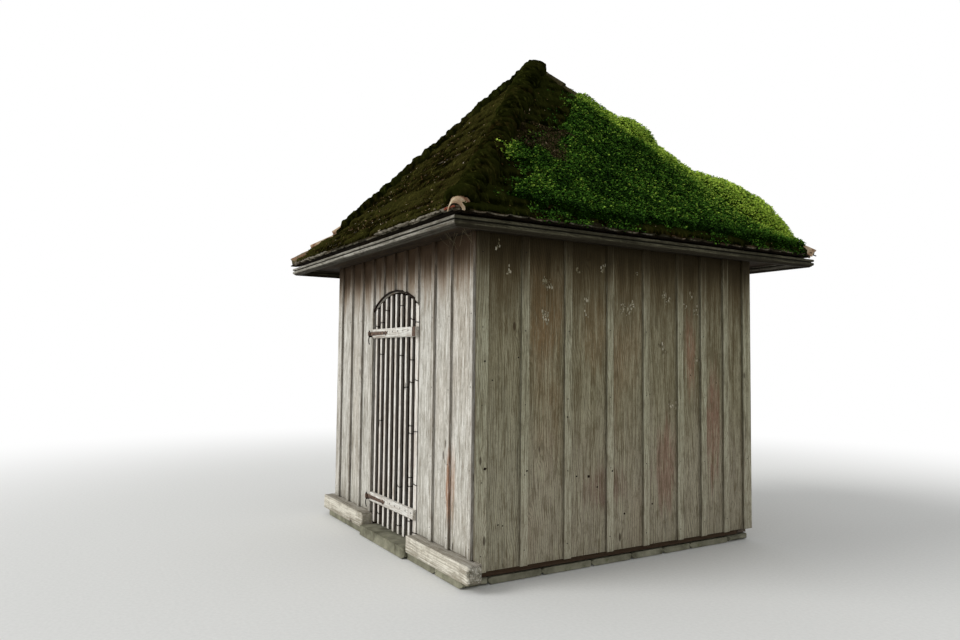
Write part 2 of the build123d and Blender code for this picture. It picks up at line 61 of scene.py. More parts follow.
# How far meshes stay inside the CAD box at its sides and top
BOX_MARGIN = 0.0004

# Roof form, as built
TILE_EDGE = 0.030
KICK_RUN = 0.370
KICK_RISE = 0.310
KICK_ROUNDING = 0.12

# Roof tiles
TILE_EXPOSURE = 0.150
TILE_WIDTH = 0.172
TILE_THICK = 0.013
TILE_LAP = 0.050
TILE_JOINT = 0.004
TILE_TAIL = 0.045
TILE_FALL = 0.020
TILE_LIFT = 0.010
EAVE_TILE_LIFT = -0.006
EAVE_INSET = 0.004
DECK_SETBACK = 0.055
DECK_TOP = -0.036
DECK_FOOT = -0.062

# Spread of single tiles: slip up the slope, turn and lift
TILE_SPREAD = (0.005, 0.012, 0.0018)
LEAST_SLIP = -0.004

# Half-round hip tiles: radii of the lower and upper end, overlap and length seen
HIP_SETBACK = 0.030
HIP_SINK = 0.034
HIP_TILE_WIDE = 0.074
HIP_TILE_NARROW = 0.063
HIP_TILE_LAP = 0.030
HIP_TILE_LENGTH = 0.30
HIP_TILE_CUTS = 15
APEX_CLEAR = 0.10

# Form of a hip tile and of the broken first one of the near hip: wall, squash, sink, extra radius
HIP_TILE_FORM = (0.013, 0.84, HIP_SINK, 0.0)
NEAR_TILE = (0.025, 0.70, 0.028, 0.006)

# Hips as the signs of their corner: near, far, back left and front left
HIPS = ((1, -1), (1, 1), (-1, 1), (-1, -1))
FRONT_LEFT = 3

# The lowest tiles of the front left hip lie higher and have their own share of moss
HIP_RAISE = 0.030
RAISED_AGES = (0.50, 0.16, 0.12, 0.24)

# Moss on the tiles: spacing of its mesh and how deep its foot lies in them
MOSS_STEP = 0.014
MOSS_SINK = 0.005

# Where the moss over the hips starts and is full, from the eave: near, back left, front left
HIP_MOSS_START = ((0.14, 0.21), (0.20, 0.30), (0.98, 1.18))
HIP_MOSS_STEP = 0.016
HIP_MOSS_RADIUS = 0.062
HIP_MOSS_THICK = 0.036

# Growth on the right slope: its depth, and how the far hip runs over the slope
CARPET_THICK = 0.068
CARPET_STEP = 0.016
HIP_ASIDE = 0.825
HIP_CLIMB = 0.565
HIP_LEAN = 0.684
COMB_HEADING = math.radians(-62)

# Swellings of the growth round the far hip: shares of the way up of foot, crown and head, radius
MOUNDS = ((0.07, 0.24, 0.46, 0.200), (0.54, 0.62, 0.73, 0.135))

# Lower edge of the growth, as (along the eave, up from it), and its near side, as (up, along)
CARPET_FOOT = ((-1.50, 0.34), (-1.29, 0.25), (-1.17, 0.17), (-0.70, 0.14), (-0.27, 0.10), (0.26, 0.14),
               (0.65, 0.10), (1.11, 0.10), (1.70, 0.08))
CARPET_SIDE = ((0.11, -1.44), (0.25, -1.36), (0.39, -1.26), (0.65, -1.01), (0.87, -0.91), (1.17, -0.72),
               (1.48, -0.29), (2.04, 0.14), (2.48, 0.56))

# A small patch of the growth that stands apart from it: middle along and up, half sizes
OUTPOST = (-1.07, 0.93, 0.20, 0.15)

# Dead patches of the growth: middle along and up the slope, half sizes along and up
WITHERED = ((-0.68, 1.11, 0.24, 0.17), (-0.50, 1.32, 0.19, 0.14), (-0.77, 1.59, 0.10, 0.12))

# Doorway arch, as built
ARCH_RISE = 0.142
SLAT_HEAD_GAP = 0.014
TWIG_RADIUS = 0.0095

# The corner strips stop on the front sill's end and hang lower behind it
NOTCH_EDGE = 0.0006

# Nails in the cover strips: spacing, radius and half thickness. Half sizes of those in the rails
NAIL_PITCH = 0.56
NAIL_RADIUS = 0.0050
NAIL_HALF = 0.0036
RAIL_NAIL = (0.0075, 0.003, 0.0065)

# How a kind of piece is eased at its edges, cut into cells along and across it, and worn
BOARD = (0.003, 40, (8, 1), 0.0016)
STRIP = (0.005, 44, (3, 2), 0.0028)
BEAM = (0.012, 60, (6, 5), 0.007)
SLAT = (0.004, 30, (2, 2), 0.0022)
STONE = (0.020, 10, (6, 4), 0.010)
STEP_STONE = (0.020, 26, (6, 4), 0.012)

# Waves of wear in each metre across the fibres and along them
WEAR_ACROSS = 28.0
WEAR_ALONG = 1.6

# Boards: least gap and what may be added to it, and the greatest hollow or bow
BOARD_GAP = 0.0006
BOARD_SPREAD = 0.0012
BOARD_CUP = 0.0035

# Footing stones: usual length and joint
STONE_LENGTH = 0.42
STONE_JOINT = 0.004

# Wire ties: radius of the wire and its clearance round a slat
WIRE_RADIUS = 0.0036
WIRE_CLEAR = 0.0012


# Random fields and mesh gathering


def lattice(ix, iy, iz, seed):
    """A repeatable random value from 0 to 1 at each point of a whole-number grid."""
    mixed = (ix * 73856093) ^ (iy * 19349663) ^ (iz * 83492791) ^ (seed * 26544357)
    mixed = (mixed ^ (mixed >> 13)) * 1274126177
    return ((mixed ^ (mixed >> 16)) & 0xFFFF) / 65535.0


def field(points, scale, seed=0):
    """Smooth random values from 0 to 1. scale is in waves for each metre, one number or three."""
    points = np.asarray(points, float)
    place = points.reshape(-1, 3) * np.asarray(scale, float)
    base = np.floor(place).astype(np.int64)
    part = place - base
    part = part * part * (3 - 2 * part)
    total = np.zeros(len(place))
    for corner in np.ndindex(2, 2, 2):
        weight = np.ones(len(place))
        for axis in range(3):
            weight *= part[:, axis] if corner[axis] else 1 - part[:, axis]
        cell = base + np.array(corner)
        total += weight * lattice(cell[:, 0], cell[:, 1], cell[:, 2], seed)
    return total.reshape(points.shape[:-1])


def layered(points, scale, seed=0, layers=3):
    """Random values with finer and finer detail on top of each other."""
    total, weight = np.zeros(np.shape(points)[:-1]), 0.0
    for layer in range(layers):
        share = 0.5 ** layer
        total += share * field(points, np.asarray(scale, float) * 2 ** layer, seed + layer)
        weight += share
    return total / weight


def unit(vectors):
    """Vectors brought to a length of 1."""
    return vectors / np.linalg.norm(vectors, axis=-1, keepdims=True)


def ease(value, low, high):
    """0 below low, 1 above high and smooth between."""
    part = np.clip((np.asarray(value, float) - low) / (high - low), 0, 1)
    return part * part * (3 - 2 * part)


def add_object(name, data):
    """A new object in the scene."""
    made = bpy.data.objects.new(name, data)
    bpy.context.scene.collection.objects.link(made)
    return made


class Shape:
    """Points, faces and values that end up in one mesh."""

    def __init__(self):
        self.points = []
        self.faces = []
        self.tones = []
        self.edges = []
        self.count = 0

    def add(self, points, faces, tone=0.5, edge=0.0):
        points = np.asarray(points, float).reshape(-1, 3)
        self.faces.extend([[i + self.count for i in face] for face in faces])
        self.points.append(points)
        self.tones.append(np.broadcast_to(np.asarray(tone, float), len(points)))
        self.edges.append(np.broadcast_to(np.asarray(edge, float), len(points)))
        self.count += len(points)

    def join(self, other):
        """Adds all that another shape holds."""
        parts = [np.concatenate(values) for values in (other.points, other.tones, other.edges)]
        self.add(parts[0], other.faces, parts[1], parts[2])

    def build(self, name, material, slot, body="chapel", replaces=(), angle=40):
        points = np.concatenate(self.points)
        points = np.clip(points, LOW + (BOX_MARGIN, BOX_MARGIN, 0), HIGH - BOX_MARGIN)
        mesh = bpy.data.meshes.new(name)
        mesh.from_pydata(points.tolist(), [], self.faces)
        mesh.validate()
        for title, values in (("tone", self.tones), ("edge", self.edges)):
            layer = mesh.attributes.new(title, "FLOAT", "POINT")
            layer.data.foreach_set("value", np.concatenate(values).astype(np.float32))
        mesh.polygons.foreach_set("use_smooth", [True] * len(mesh.polygons))
        if angle:
            mesh.set_sharp_from_angle(angle=math.radians(angle))
        mesh.materials.append(material)
        piece = add_object(name, mesh)
        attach(piece, body)
        if replaces:
            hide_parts(*replaces)
        return piece


def ball(shape, centre, size, seed, tone=0.5, rings=5, around=8):
    """A small uneven lump."""
    points = [(0, 0, -1)]
    for ring in range(1, rings):
        height = -math.cos(math.pi * ring / rings)
        radius = math.sin(math.pi * ring / rings)
        for step in range(around):
            angle = 2 * math.pi * step / around
            points.append((radius * math.cos(angle), radius * math.sin(angle), height))
    points.append((0, 0, 1))
    points = np.array(points)
    bumps = 0.75 + 0.5 * field(points + seed * 3.1, 2.2, seed)
    points = points * bumps[:, None] * np.asarray(size) + np.asarray(centre)
    faces = []
    for step in range(around):
        following = (step + 1) % around
        faces.append((0, 1 + following, 1 + step))
        for ring in range(rings - 2):
            a, b = 1 + ring * around, 1 + (ring + 1) * around
            faces.append((a + step, a + following, b + following, b + step))
        top = 1 + (rings - 2) * around
        faces.append((top + step, top + following, len(points) - 1))
    shape.add(points, faces, tone)


def solids(node):
    """The separate solids of a CAD node, each as its lowest and highest corner, sorted by place."""
    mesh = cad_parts[node].data
    keys = [tuple(round(c, 4) for c in vertex.co) for vertex in mesh.vertices]
    parent = {key: key for key in keys}

    def root(key):
        while parent[key] != key:
            parent[key] = parent[parent[key]]
            key = parent[key]
        return key

    for face in mesh.polygons:
        first = root(keys[face.vertices[0]])
        for index in face.vertices[1:]:
            parent[root(keys[index])] = first
    groups = {}
    for key in parent:
        groups.setdefault(root(key), []).append(key)
    boxes = [(np.min(group, axis=0), np.max(group, axis=0)) for group in groups.values()]
    return sorted(boxes, key=lambda box: tuple(box[0] + box[1]))


def box(node):
    """Lowest and highest corner of a CAD node."""
    low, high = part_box(node)
    return np.array(low), np.array(high)


# Places read from the frame

SOFFIT_FOOT = box("soffits_front_back")[0][2]
CORNICE_FOOT = box("cornice_front")[0][2]

# Half width and half depth of the room, and how deep its boards may be hollowed; wood inside the room gets
# painted shade
BOARD_HOLLOW = 0.003
INSIDE = (box("right_wall")[0][0] + BOARD_HOLLOW, BOARD_HOLLOW - box("front_wall_left")[1][1])

# Painted shade in the cornice's groove and under its band: height, half width and colour
CORNICE_SHADE = (
    (CORNICE_FOOT + 0.045, 0.0062, (18, 16, 7)),
    (CORNICE_FOOT + 0.006, 0.0110, (39, 34, 24)),
)


# Materials


def linear(colour):
    """A colour as read on screen, three numbers from 0 to 255, as linear light. A socket stays."""
    if isinstance(colour, bpy.types.NodeSocket):
        return colour
    parts = [c / 255 for c in colour]
    parts = [c / 12.92 if c <= 0.04045 else ((c + 0.055) / 1.055) ** 2.4 for c in parts]
    return (*parts, 1.0)


class Finish:
    """A node material under construction."""

    def __init__(self, name, roughness=0.85, shine=0.12):
        self.material = bpy.data.materials.new(name)
        self.material.use_nodes = True
        self.tree = self.material.node_tree
        self.tree.nodes.clear()
        self.shader = self.tree.nodes.new("ShaderNodeBsdfPrincipled")
        self.shader.inputs["Roughness"].default_value = roughness
        self.shader.inputs["Specular IOR Level"].default_value = shine
        output = self.tree.nodes.new("ShaderNodeOutputMaterial")
        self.tree.links.new(self.shader.outputs["BSDF"], output.inputs["Surface"])
        self.place = self.tree.nodes.new("ShaderNodeTexCoord").outputs["Object"]

    def node(self, kind, inputs, output=0, **settings):
        made = self.tree.nodes.new(kind)
        for title, value in settings.items():
            setattr(made, title, value)
        for title, value in inputs.items():
            if isinstance(value, bpy.types.NodeSocket):
                self.tree.links.new(value, made.inputs[title])
            else:
                made.inputs[title].default_value = value
        return made.outputs[output]

    def value(self, title):
        """A value stored on the mesh."""
        return self.node("ShaderNodeAttribute", {}, "Fac", attribute_name=title)

    def axis(self, index, vector=None):
        return self.node("ShaderNodeSeparateXYZ", {0: vector or self.place}, index)

    def vector(self, operation, first, second):
        return self.node("ShaderNodeVectorMath", {0: first, 1: second}, operation=operation)

    def math(self, operation, first, second=0.0, clamp=False):
        return self.node("ShaderNodeMath", {0: first, 1: second}, operation=operation, use_clamp=clamp)

    def plus(self, first, second, clamp=False):
        return self.math("ADD", first, second, clamp)

    def minus(self, first, second):
        return self.math("SUBTRACT", first, second)

    def times(self, first, second):
        return self.math("MULTIPLY", first, second)

    def stretched(self, vector, scale):
        return self.vector("MULTIPLY", vector, scale)

    def noise(self, vector, scale, detail=3.0, rough=0.55):
        inputs = {"Vector": vector, "Scale": scale, "Detail": detail, "Roughness": rough}
        return self.node("ShaderNodeTexNoise", inputs)

    def cells(self, vector, scale):
        """Distance to the nearest of scattered points."""
        return self.node("ShaderNodeTexVoronoi", {"Vector": vector, "Scale": scale})

    def step(self, value, low, high, first=0.0, last=1.0):
        """Smooth change from first to last as value goes from low to high."""
        inputs = {0: value, 1: low, 2: high, 3: first, 4: last}
        return self.node("ShaderNodeMapRange", inputs, interpolation_type="SMOOTHSTEP")

    def mix(self, factor, first, second, mode="MIX"):
        """From the first colour to the second by factor."""
        inputs = {0: factor, 6: linear(first), 7: linear(second)}
        return self.node("ShaderNodeMix", inputs, 2, data_type="RGBA", blend_type=mode)

    def over(self, base, colour, value, low, high, share=1.0):
        """A colour laid over base: none of it where value is low, share of it where it is high."""
        return self.mix(self.step(value, low, high, 0.0, share), base, colour)

    def ramp(self, factor, *stops):
        made = self.tree.nodes.new("ShaderNodeValToRGB")
        self.tree.links.new(factor, made.inputs[0])
        points = made.color_ramp.elements
        while len(points) < len(stops):
            points.new(0.5)
        for point, (position, colour) in zip(points, stops):
            point.position = position
            point.color = linear(colour)
        return made.outputs[0]

    def bump(self, height, distance, strength):
        inputs = {"Height": height, "Distance": distance, "Strength": strength}
        return self.node("ShaderNodeBump", inputs)

    def finish(self, colour, roughness=None, normal=None):
        self.tree.links.new(colour, self.shader.inputs["Base Color"])
        if roughness:
            self.tree.links.new(roughness, self.shader.inputs["Roughness"])
        if normal:
            self.tree.links.new(normal, self.shader.inputs["Normal"])
        return self.material


def wood(name, light, middle, dark, grain=2, warm=None, stain_and_shade=None, foot=None, checks=0.5, patches=(),
         shade_bands=(), specks=0.5, side=0.45):
    """Weathered softwood. grain is the axis along the fibres, from 0 to 2.

    warm is a colour that some boards lean to, and foot the height and colour of the bleached band
    at the ground. stain_and_shade is the run-off stain under the eaves with painted shade over it:
    its top, then a colour with the depths at which it starts to fade and is gone, twice. The first
    layer is a brown stain; the second, darker and shallower, is painted shade under the eaves.
    patches are (place, radii, colour, strength), and shade_bands are (height, half width, colour)
    of painted shade that lies in a moulding. checks, specks and side are the strength of cracks,
    of specks and of painted shade on the side faces and edges of each piece.
    """
    make = Finish(name)
    tone = make.value("tone")
    edge = make.value("edge")
    shift = make.node("ShaderNodeCombineXYZ", {0: tone, 1: tone, 2: tone})
    moved = make.vector("ADD", make.place, make.stretched(shift, (31.0, 17.0, 23.0)))

    def along(share):
        scale = [1.0, 1.0, 1.0]
        scale[grain] = share
        return make.stretched(moved, tuple(scale))

    fibre = along(0.06)
    knot = make.cells(make.stretched(along(0.35), (5.5, 5.5, 5.5)), 1.0)
    eye = make.step(knot, 0.045, 0.085, 1.0, 0.0)
    halo = make.step(knot, 0.05, 0.30, 1.0, 0.0)
    bend = make.noise(along(0.42), 2.4, 2.0)
    across = make.axis(0, fibre)
    bends = (make.times(bend, 0.22), make.times(halo, 0.030))
    for term in (make.axis(1, fibre), make.axis(2, fibre), *bends):
        across = make.plus(across, term)
    rings = make.step(make.math("SINE", make.times(across, 330.0)), -0.2, 0.95)
    streak = make.noise(fibre, 24.0, 4.0, 0.62)
    middle_streak = make.noise(along(0.05), 85.0, 2.0, 0.55)
    fine = make.noise(along(0.12), 230.0, 3.0, 0.65)
    broad = make.noise(make.stretched(moved, (2.2, 2.2, 0.9)), 1.0, 3.0)
    base = make.ramp(streak, (0.24, dark), (0.46, middle), (0.74, light))
    if warm:
        lean = make.step(make.plus(broad, make.times(tone, 0.5)), 0.62, 1.02)
        base = make.mix(make.times(lean, 0.75), base, warm)
    height = make.axis(2)
    if foot:
        damp = make.plus(height, make.times(make.noise(fibre, 9.0, 3.0), -foot[0]))
        base = make.mix(make.step(damp, 0.0, foot[0], 0.50, 0.0), base, foot[1])
    for place, radii, colour, strength in patches:
        apart = make.node("ShaderNodeVectorMath", {
            0: make.vector("DIVIDE", make.vector("SUBTRACT", make.place, place), radii),
        }, 1, operation="LENGTH")
        apart = make.plus(apart, make.times(make.minus(streak, 0.5), 1.6))
        base = make.mix(make.step(apart, 0.45, 1.15, strength, 0.0), base, colour)
    base = make.mix(make.times(rings, 0.36), base, dark, "MULTIPLY")
    blotch = make.noise(make.stretched(moved, (17.0, 17.0, 7.0)), 1.0, 4.0, 0.65)
    base = make.over(base, dark, blotch, 0.50, 0.36, 0.42)
    base = make.over(base, light, blotch, 0.53, 0.68, 0.26)
    base = make.over(base, dark, middle_streak, 0.47, 0.34, 0.65)
    base = make.over(base, light, middle_streak, 0.56, 0.68, 0.60)
    base = make.over(base, dark, fine, 0.47, 0.33, 0.60)
    base = make.over(base, light, fine, 0.56, 0.70, 0.45)
    crack = make.noise(along(0.027), 54.0, 2.0, 0.5)
    crack = make.step(crack, 0.705, 0.735, 0.0, checks)
    base = make.mix(crack, base, (38, 30, 22))
    grime = make.noise(moved, 92.0, 3.0, 0.7)
    base = make.over(base, dark, grime, 0.60, 0.70, specks)
    pale = make.noise(moved, 67.0, 3.0, 0.7)
    base = make.over(base, light, pale, 0.64, 0.72, 0.7 * specks)
    base = make.mix(make.times(eye, 0.75), base, (52, 38, 26))
    # Painted shade: the side faces and outer edges of each piece are darkened, by the strength side.
    base = make.over(base, (58, 46, 36), edge, 0.90, 1.0, side)
    # Run-off stain under the eaves: the first layer is a brown stain, the darker, shallower second one is
    # painted shade under the eaves.
    if stain_and_shade:
        under = make.minus(stain_and_shade[0], height)
        wander = make.minus(make.noise(fibre, 16.0, 4.0, 0.6), 0.5)
        for colour, starts, gone in stain_and_shade[1:]:
            bow = make.times(make.math("POWER", edge, 3.0), gone * 0.30)
            depth = make.plus(under, bow)
            depth = make.plus(depth, make.times(wander, gone * 0.9))
            soak_and_shade = make.step(depth, starts, gone, 0.88, 0.0)
            shade = make.mix(make.times(rings, 0.25), colour, dark, "MULTIPLY")
            base = make.mix(soak_and_shade, base, shade)
    # Painted shade in the grooves and under the bands of a moulding.
    for level, half, colour in shade_bands:
        apart = make.math("ABSOLUTE", make.minus(height, level))
        base = make.mix(make.step(apart, half * 0.6, half * 1.3, 0.85, 0.0), base, colour)
    # Painted shade: wood inside the room is darkened.
    indoor_shade = [
        make.step(make.math("ABSOLUTE", make.axis(axis)), half, half + 0.001, 1.0, 0.0)
        for axis, half in enumerate(INSIDE)
    ]
    base = make.mix(make.times(make.times(*indoor_shade), 0.85), base, (60, 42, 29))
    relief = make.plus(make.times(streak, 0.6), make.times(fine, 0.6))
    relief = make.plus(relief, make.times(middle_streak, 0.5))
    relief = make.minus(relief, make.times(rings, 0.35))
    relief = make.minus(relief, make.times(crack, 1.5))
    rough = make.step(streak, 0.2, 0.8, 0.78, 0.96)
    return make.finish(base, rough, make.bump(relief, 0.0026, 0.9))


def rusty_iron(name, *stops):
    """Forged iron with a dark scale and patches of rust."""
    make = Finish(name, 0.7, 0.2)
    broad = make.noise(make.place, 34.0, 4.0, 0.6)
    fine = make.noise(make.place, 420.0, 3.0, 0.6)
    colour = make.ramp(broad, *stops)
    colour = make.over(colour, stops[0][1], fine, 0.6, 0.75, 0.5)
    relief = make.plus(broad, make.times(fine, 0.5))
    return make.finish(colour, make.step(broad, 0.3, 0.7, 0.6, 0.92), make.bump(relief, 0.0012, 0.9))


def stone(name, light, dark, growth):
    """Rough local stone with lichen and green film near the ground."""
    make = Finish(name, 0.92)
    tone = make.value("tone")
    broad = make.noise(make.place, 7.0, 5.0, 0.6)
    grit = make.noise(make.place, 160.0, 3.0, 0.65)
    colour = make.ramp(broad, (0.32, dark), (0.62, light))
    colour = make.mix(make.times(tone, 0.35), colour, dark)
    colour = make.over(colour, dark, grit, 0.58, 0.72, 0.4)
    lichen = make.noise(make.place, 19.0, 4.0, 0.7)
    colour = make.over(colour, growth, lichen, 0.58, 0.68, 0.6)
    relief = make.plus(broad, make.times(grit, 0.4))
    return make.finish(colour, None, make.bump(relief, 0.004, 0.8))


def tile_clay(name):
    """Old plain tiles: dark film over brown clay, lichen dots, paler worn edges."""
    make = Finish(name, 0.95, 0.02)
    tone = make.value("tone")
    edge = make.value("edge")
    broad = make.noise(make.place, 9.0, 4.0, 0.6)
    fine = make.noise(make.place, 130.0, 3.0, 0.6)
    colour = make.ramp(
        tone,
        (0.0, (40, 34, 22)), (0.45, (58, 47, 32)), (0.8, (78, 60, 42)),
        (1.0, (112, 76, 54)),
    )
    colour = make.over(colour, (28, 26, 12), broad, 0.38, 0.56, 0.85)
    lichen = make.cells(make.place, 46.0)
    spots = make.step(lichen, 0.20, 0.34, 1.0, 0.0)
    spots = make.times(spots, make.step(broad, 0.40, 0.55, 1.0, 0.0))
    colour = make.mix(make.times(spots, 0.40), colour, (128, 122, 100))
    worn = make.times(edge, make.step(broad, 0.42, 0.58, 0.65, 0.10))
    colour = make.mix(worn, colour, (132, 128, 114))
    grit = make.noise(make.place, 24.0, 3.0, 0.6)
    colour = make.over(colour, (30, 28, 18), grit, 0.47, 0.58, 0.55)
    colour = make.over(colour, (20, 17, 9), fine, 0.55, 0.7, 0.4)
    relief = make.plus(broad, make.times(fine, 0.45))
    return make.finish(colour, None, make.bump(relief, 0.003, 0.7))


def hip_clay(name):
    """Half-round tiles: cream to terracotta where bare, dark and mossy higher up."""
    make = Finish(name, 0.9, 0.05)
    tone = make.value("tone")
    broad = make.noise(make.place, 13.0, 4.0, 0.6)
    fine = make.noise(make.place, 150.0, 3.0, 0.6)
    bare = make.ramp(
        broad, (0.34, (120, 84, 62)), (0.50, (170, 146, 118)), (0.66, (196, 184, 156))
    )
    grown = make.ramp(broad, (0.35, (40, 38, 22)), (0.65, (76, 70, 44)))
    high = make.plus(make.times(make.minus(broad, 0.5), 1.1), tone)
    colour = make.mix(make.step(high, 0.30, 0.62), bare, grown)
    colour = make.over(colour, (64, 54, 40), fine, 0.56, 0.7, 0.45)
    relief = make.plus(broad, make.times(fine, 0.4))
    return make.finish(colour, None, make.bump(relief, 0.003, 0.8))


def moss(name, dark, middle, light, brown, brown_share=0.5, run=None):
    """Cushions of moss with brown dead parts. The mesh's edge value is 1 on the fresh crests. run
    is the axis along the courses, across which the moss hangs in strands down the slope."""
    make = Finish(name, 1.0, 0.0)
    tone = make.value("tone")
    crest = make.value("edge")
    clump = make.noise(make.place, 15.0, 4.0, 0.6)
    tuft = make.noise(make.place, 75.0, 5.0, 0.75)
    fuzz = make.cells(make.place, 150.0)
    patch = make.noise(make.place, 2.3, 3.0, 0.55)
    colour = make.ramp(tuft, (0.38, dark), (0.51, middle), (0.66, light))
    colour = make.mix(make.step(patch, 0.62 - brown_share * 0.35, 0.68, 0.0, 0.70), colour, brown)
    colour = make.mix(make.times(tone, 0.5), colour, brown)
    if run is not None:
        scale = [9.0, 9.0, 9.0]
        scale[run] = 46.0
        strand = make.noise(make.stretched(make.place, tuple(scale)), 1.0, 3.0, 0.65)
        colour = make.over(colour, dark, strand, 0.57, 0.42, 0.90)
        colour = make.over(colour, light, strand, 0.57, 0.67, 0.80)
        # Painted shade: broad dark gaps between the strands stand in for the shade between the cushions.
        scale[run] = 21.0
        gap = make.noise(make.stretched(make.place, tuple(scale)), 1.0, 2.0, 0.5)
        colour = make.over(colour, dark, gap, 0.52, 0.40, 0.85)
    colour = make.over(colour, dark, clump, 0.54, 0.36, 0.7)
    colour = make.mix(make.times(crest, 0.35), colour, light)
    relief = make.plus(make.times(tuft, 0.8), make.times(fuzz, -0.5))
    relief = make.plus(relief, clump)
    return make.finish(colour, None, make.bump(relief, 0.010, 0.9))


def leaf(name, stops, roughness=0.75):
    """Small leaves, each with its own tone, darker toward their foot."""
    make = Finish(name, roughness, 0.03)
    tone = make.value("tone")
    rib = make.value("edge")
    patch = make.noise(make.place, 3.1, 3.0, 0.6)
    drift = make.times(make.minus(patch, 0.5), 0.5)
    colour = make.ramp(make.plus(tone, drift, True), *stops)
    colour = make.mix(make.times(rib, 0.45), colour, stops[0][1])
    fine = make.noise(make.place, 300.0, 2.0)
    return make.finish(colour, make.step(fine, 0.3, 0.7, roughness - 0.08, roughness + 0.1),
                       make.bump(fine, 0.0008, 0.5))


OLD_TIMBER = ((120, 98, 70), (96, 76, 54), (60, 46, 32))
OLIVE_MOSS = ((6, 5, 0), (26, 26, 6), (80, 78, 36), (46, 35, 16))

front_wood = wood(
    "weathered_front_boards", (238, 236, 228), (203, 200, 190), (134, 126, 112),
    warm=(192, 182, 166),
    stain_and_shade=(SOFFIT_FOOT, ((134, 111, 86), 0.18, 0.62), ((64, 47, 30), 0.10, 0.38)),
    foot=(0.30, (160, 157, 142)), checks=0.4, specks=0.75,
    patches=(((1.10, -1.48, 0.72), (0.045, 0.2, 0.30), (174, 130, 96), 0.60),),
)
front_strip_wood = wood(
    "weathered_front_strips", (236, 233, 224), (197, 193, 182), (128, 118, 104),
    stain_and_shade=(SOFFIT_FOOT, ((130, 111, 88), 0.16, 0.55), ((60, 45, 29), 0.06, 0.32)),
    foot=(0.24, (150, 147, 132)), checks=0.35,
    patches=(((1.07, -1.51, 0.70), (0.050, 0.2, 0.30), (168, 112, 72), 0.80),),
)
# Painted shade: the side walls' boards are coloured darker than the front's, for the shade on the sides.
side_wood = wood(
    "weathered_shaded_side_boards", (168, 163, 137), (132, 125, 99), (92, 81, 58),
    warm=(140, 114, 84),
    stain_and_shade=(SOFFIT_FOOT, ((82, 69, 45), 0.16, 0.90), ((46, 38, 21), 0.05, 0.40)),
    foot=(1.00, (182, 174, 158)),
    patches=(
        ((1.4, -1.25, 0.75), (0.5, 0.30, 0.90), (156, 154, 132), 0.45),
        ((1.4, -0.86, 1.98), (0.5, 0.20, 0.36), (122, 94, 56), 0.42),
        ((1.4, -0.35, 1.88), (0.5, 0.20, 0.36), (126, 96, 58), 0.42),
        ((1.4, 0.42, 0.75), (0.5, 0.16, 0.40), (142, 104, 90), 0.60),
        ((1.4, 1.00, 1.05), (0.5, 0.12, 0.55), (142, 98, 84), 0.62),
        ((1.4, -0.25, 0.62), (0.5, 0.25, 0.18), (118, 88, 78), 0.60),
        ((1.4, 0.72, 1.72), (0.5, 0.07, 0.42), (148, 104, 84), 0.60),
    ),
)
# Painted shade: the side strips are coloured darker than the front strips.
side_strip_wood = wood(
    "weathered_shaded_side_strips", (190, 188, 164), (160, 156, 131), (104, 96, 74),
    stain_and_shade=(SOFFIT_FOOT, ((96, 84, 60), 0.12, 0.80), ((46, 38, 22), 0.05, 0.40)),
    foot=(0.90, (190, 182, 164)),
)
sill_wood = wood(
    "weathered_sill", (238, 234, 220), (214, 208, 193), (146, 138, 121), grain=0,
    patches=(
        # Painted shade on the end face of the front sill at the near corner.
        ((1.560, -1.50, 0.10), (0.065, 0.3, 0.16), (62, 60, 42), 0.92),
        ((-0.48, -1.53, 0.12), (0.12, 0.3, 0.3), (136, 128, 110), 0.55),
        ((0.0, -1.60, 0.06), (3.0, 0.3, 0.05), (120, 112, 94), 0.50),
    ),
)
# Painted shade: the side sills are coloured darker than the front sill.
side_sill_wood = wood("weathered_shaded_side_sill", (140, 133, 112), (112, 104, 84), (72, 64, 47), grain=1)
timber_wood = wood("frame_timber", *OLD_TIMBER, checks=0.6)
cross_timber_wood = wood("cross_timber", *OLD_TIMBER, grain=0, checks=0.6)
gate_wood = wood(
    "gate_slat_wood", (250, 248, 241), (234, 230, 221), (162, 146, 129), checks=0.25,
    # side: painted shade on the side faces of the slats
    side=0.72,
)
rail_wood = wood(
    "gate_rail_wood", (240, 238, 230), (221, 219, 211), (164, 151, 138), grain=0,
    checks=0.25,
)
eave_front_wood = wood(
    "eave_front_wood", (176, 173, 162), (140, 136, 124), (70, 63, 50), grain=0,
    shade_bands=CORNICE_SHADE, specks=0.3,
)
# Painted shade: the side cornices are coloured darker than the front ones.
shaded_eave_side_wood = wood(
    "shaded_eave_side_wood", (96, 93, 76), (60, 57, 42), (28, 25, 13), grain=1,
    shade_bands=CORNICE_SHADE, specks=0.3,
)
# Painted shade: the soffits are coloured much darker than the other timber, the side ones darker still.
shaded_soffit_front_wood = wood("shaded_soffit_front_wood", (70, 58, 42), (50, 40, 27), (28, 20, 12), grain=0)
shaded_soffit_side_wood = wood("shaded_soffit_side_wood", (52, 44, 30), (36, 29, 19), (20, 15, 9), grain=1)
iron = rusty_iron(
    "rusty_iron", (0.34, (44, 36, 30)), (0.48, (86, 68, 57)), (0.60, (114, 94, 80)),
    (0.76, (146, 126, 110)),
)
dark_iron = rusty_iron(
    "dark_iron", (0.36, (12, 10, 8)), (0.50, (26, 21, 17)), (0.62, (46, 35, 27)),
    (0.76, (66, 50, 38)),
)
bark = wood("twig_bark", (58, 44, 33), (35, 26, 19), (18, 13, 9), grain=0, checks=0.3)
footing_stone = stone("footing_stone", (150, 148, 128), (96, 94, 78), (92, 98, 58))
floor_stone = stone("floor_stone", (138, 130, 114), (94, 88, 76), (110, 106, 90))
roof_clay = tile_clay("old_plain_tiles")
red_clay = stone("red_clay", (158, 84, 60), (92, 46, 34), (60, 54, 30))
ridge_clay = hip_clay("hip_tile_clay")
bed_mortar = stone("hip_bed_mortar", (92, 82, 66), (54, 46, 34), (60, 54, 30))
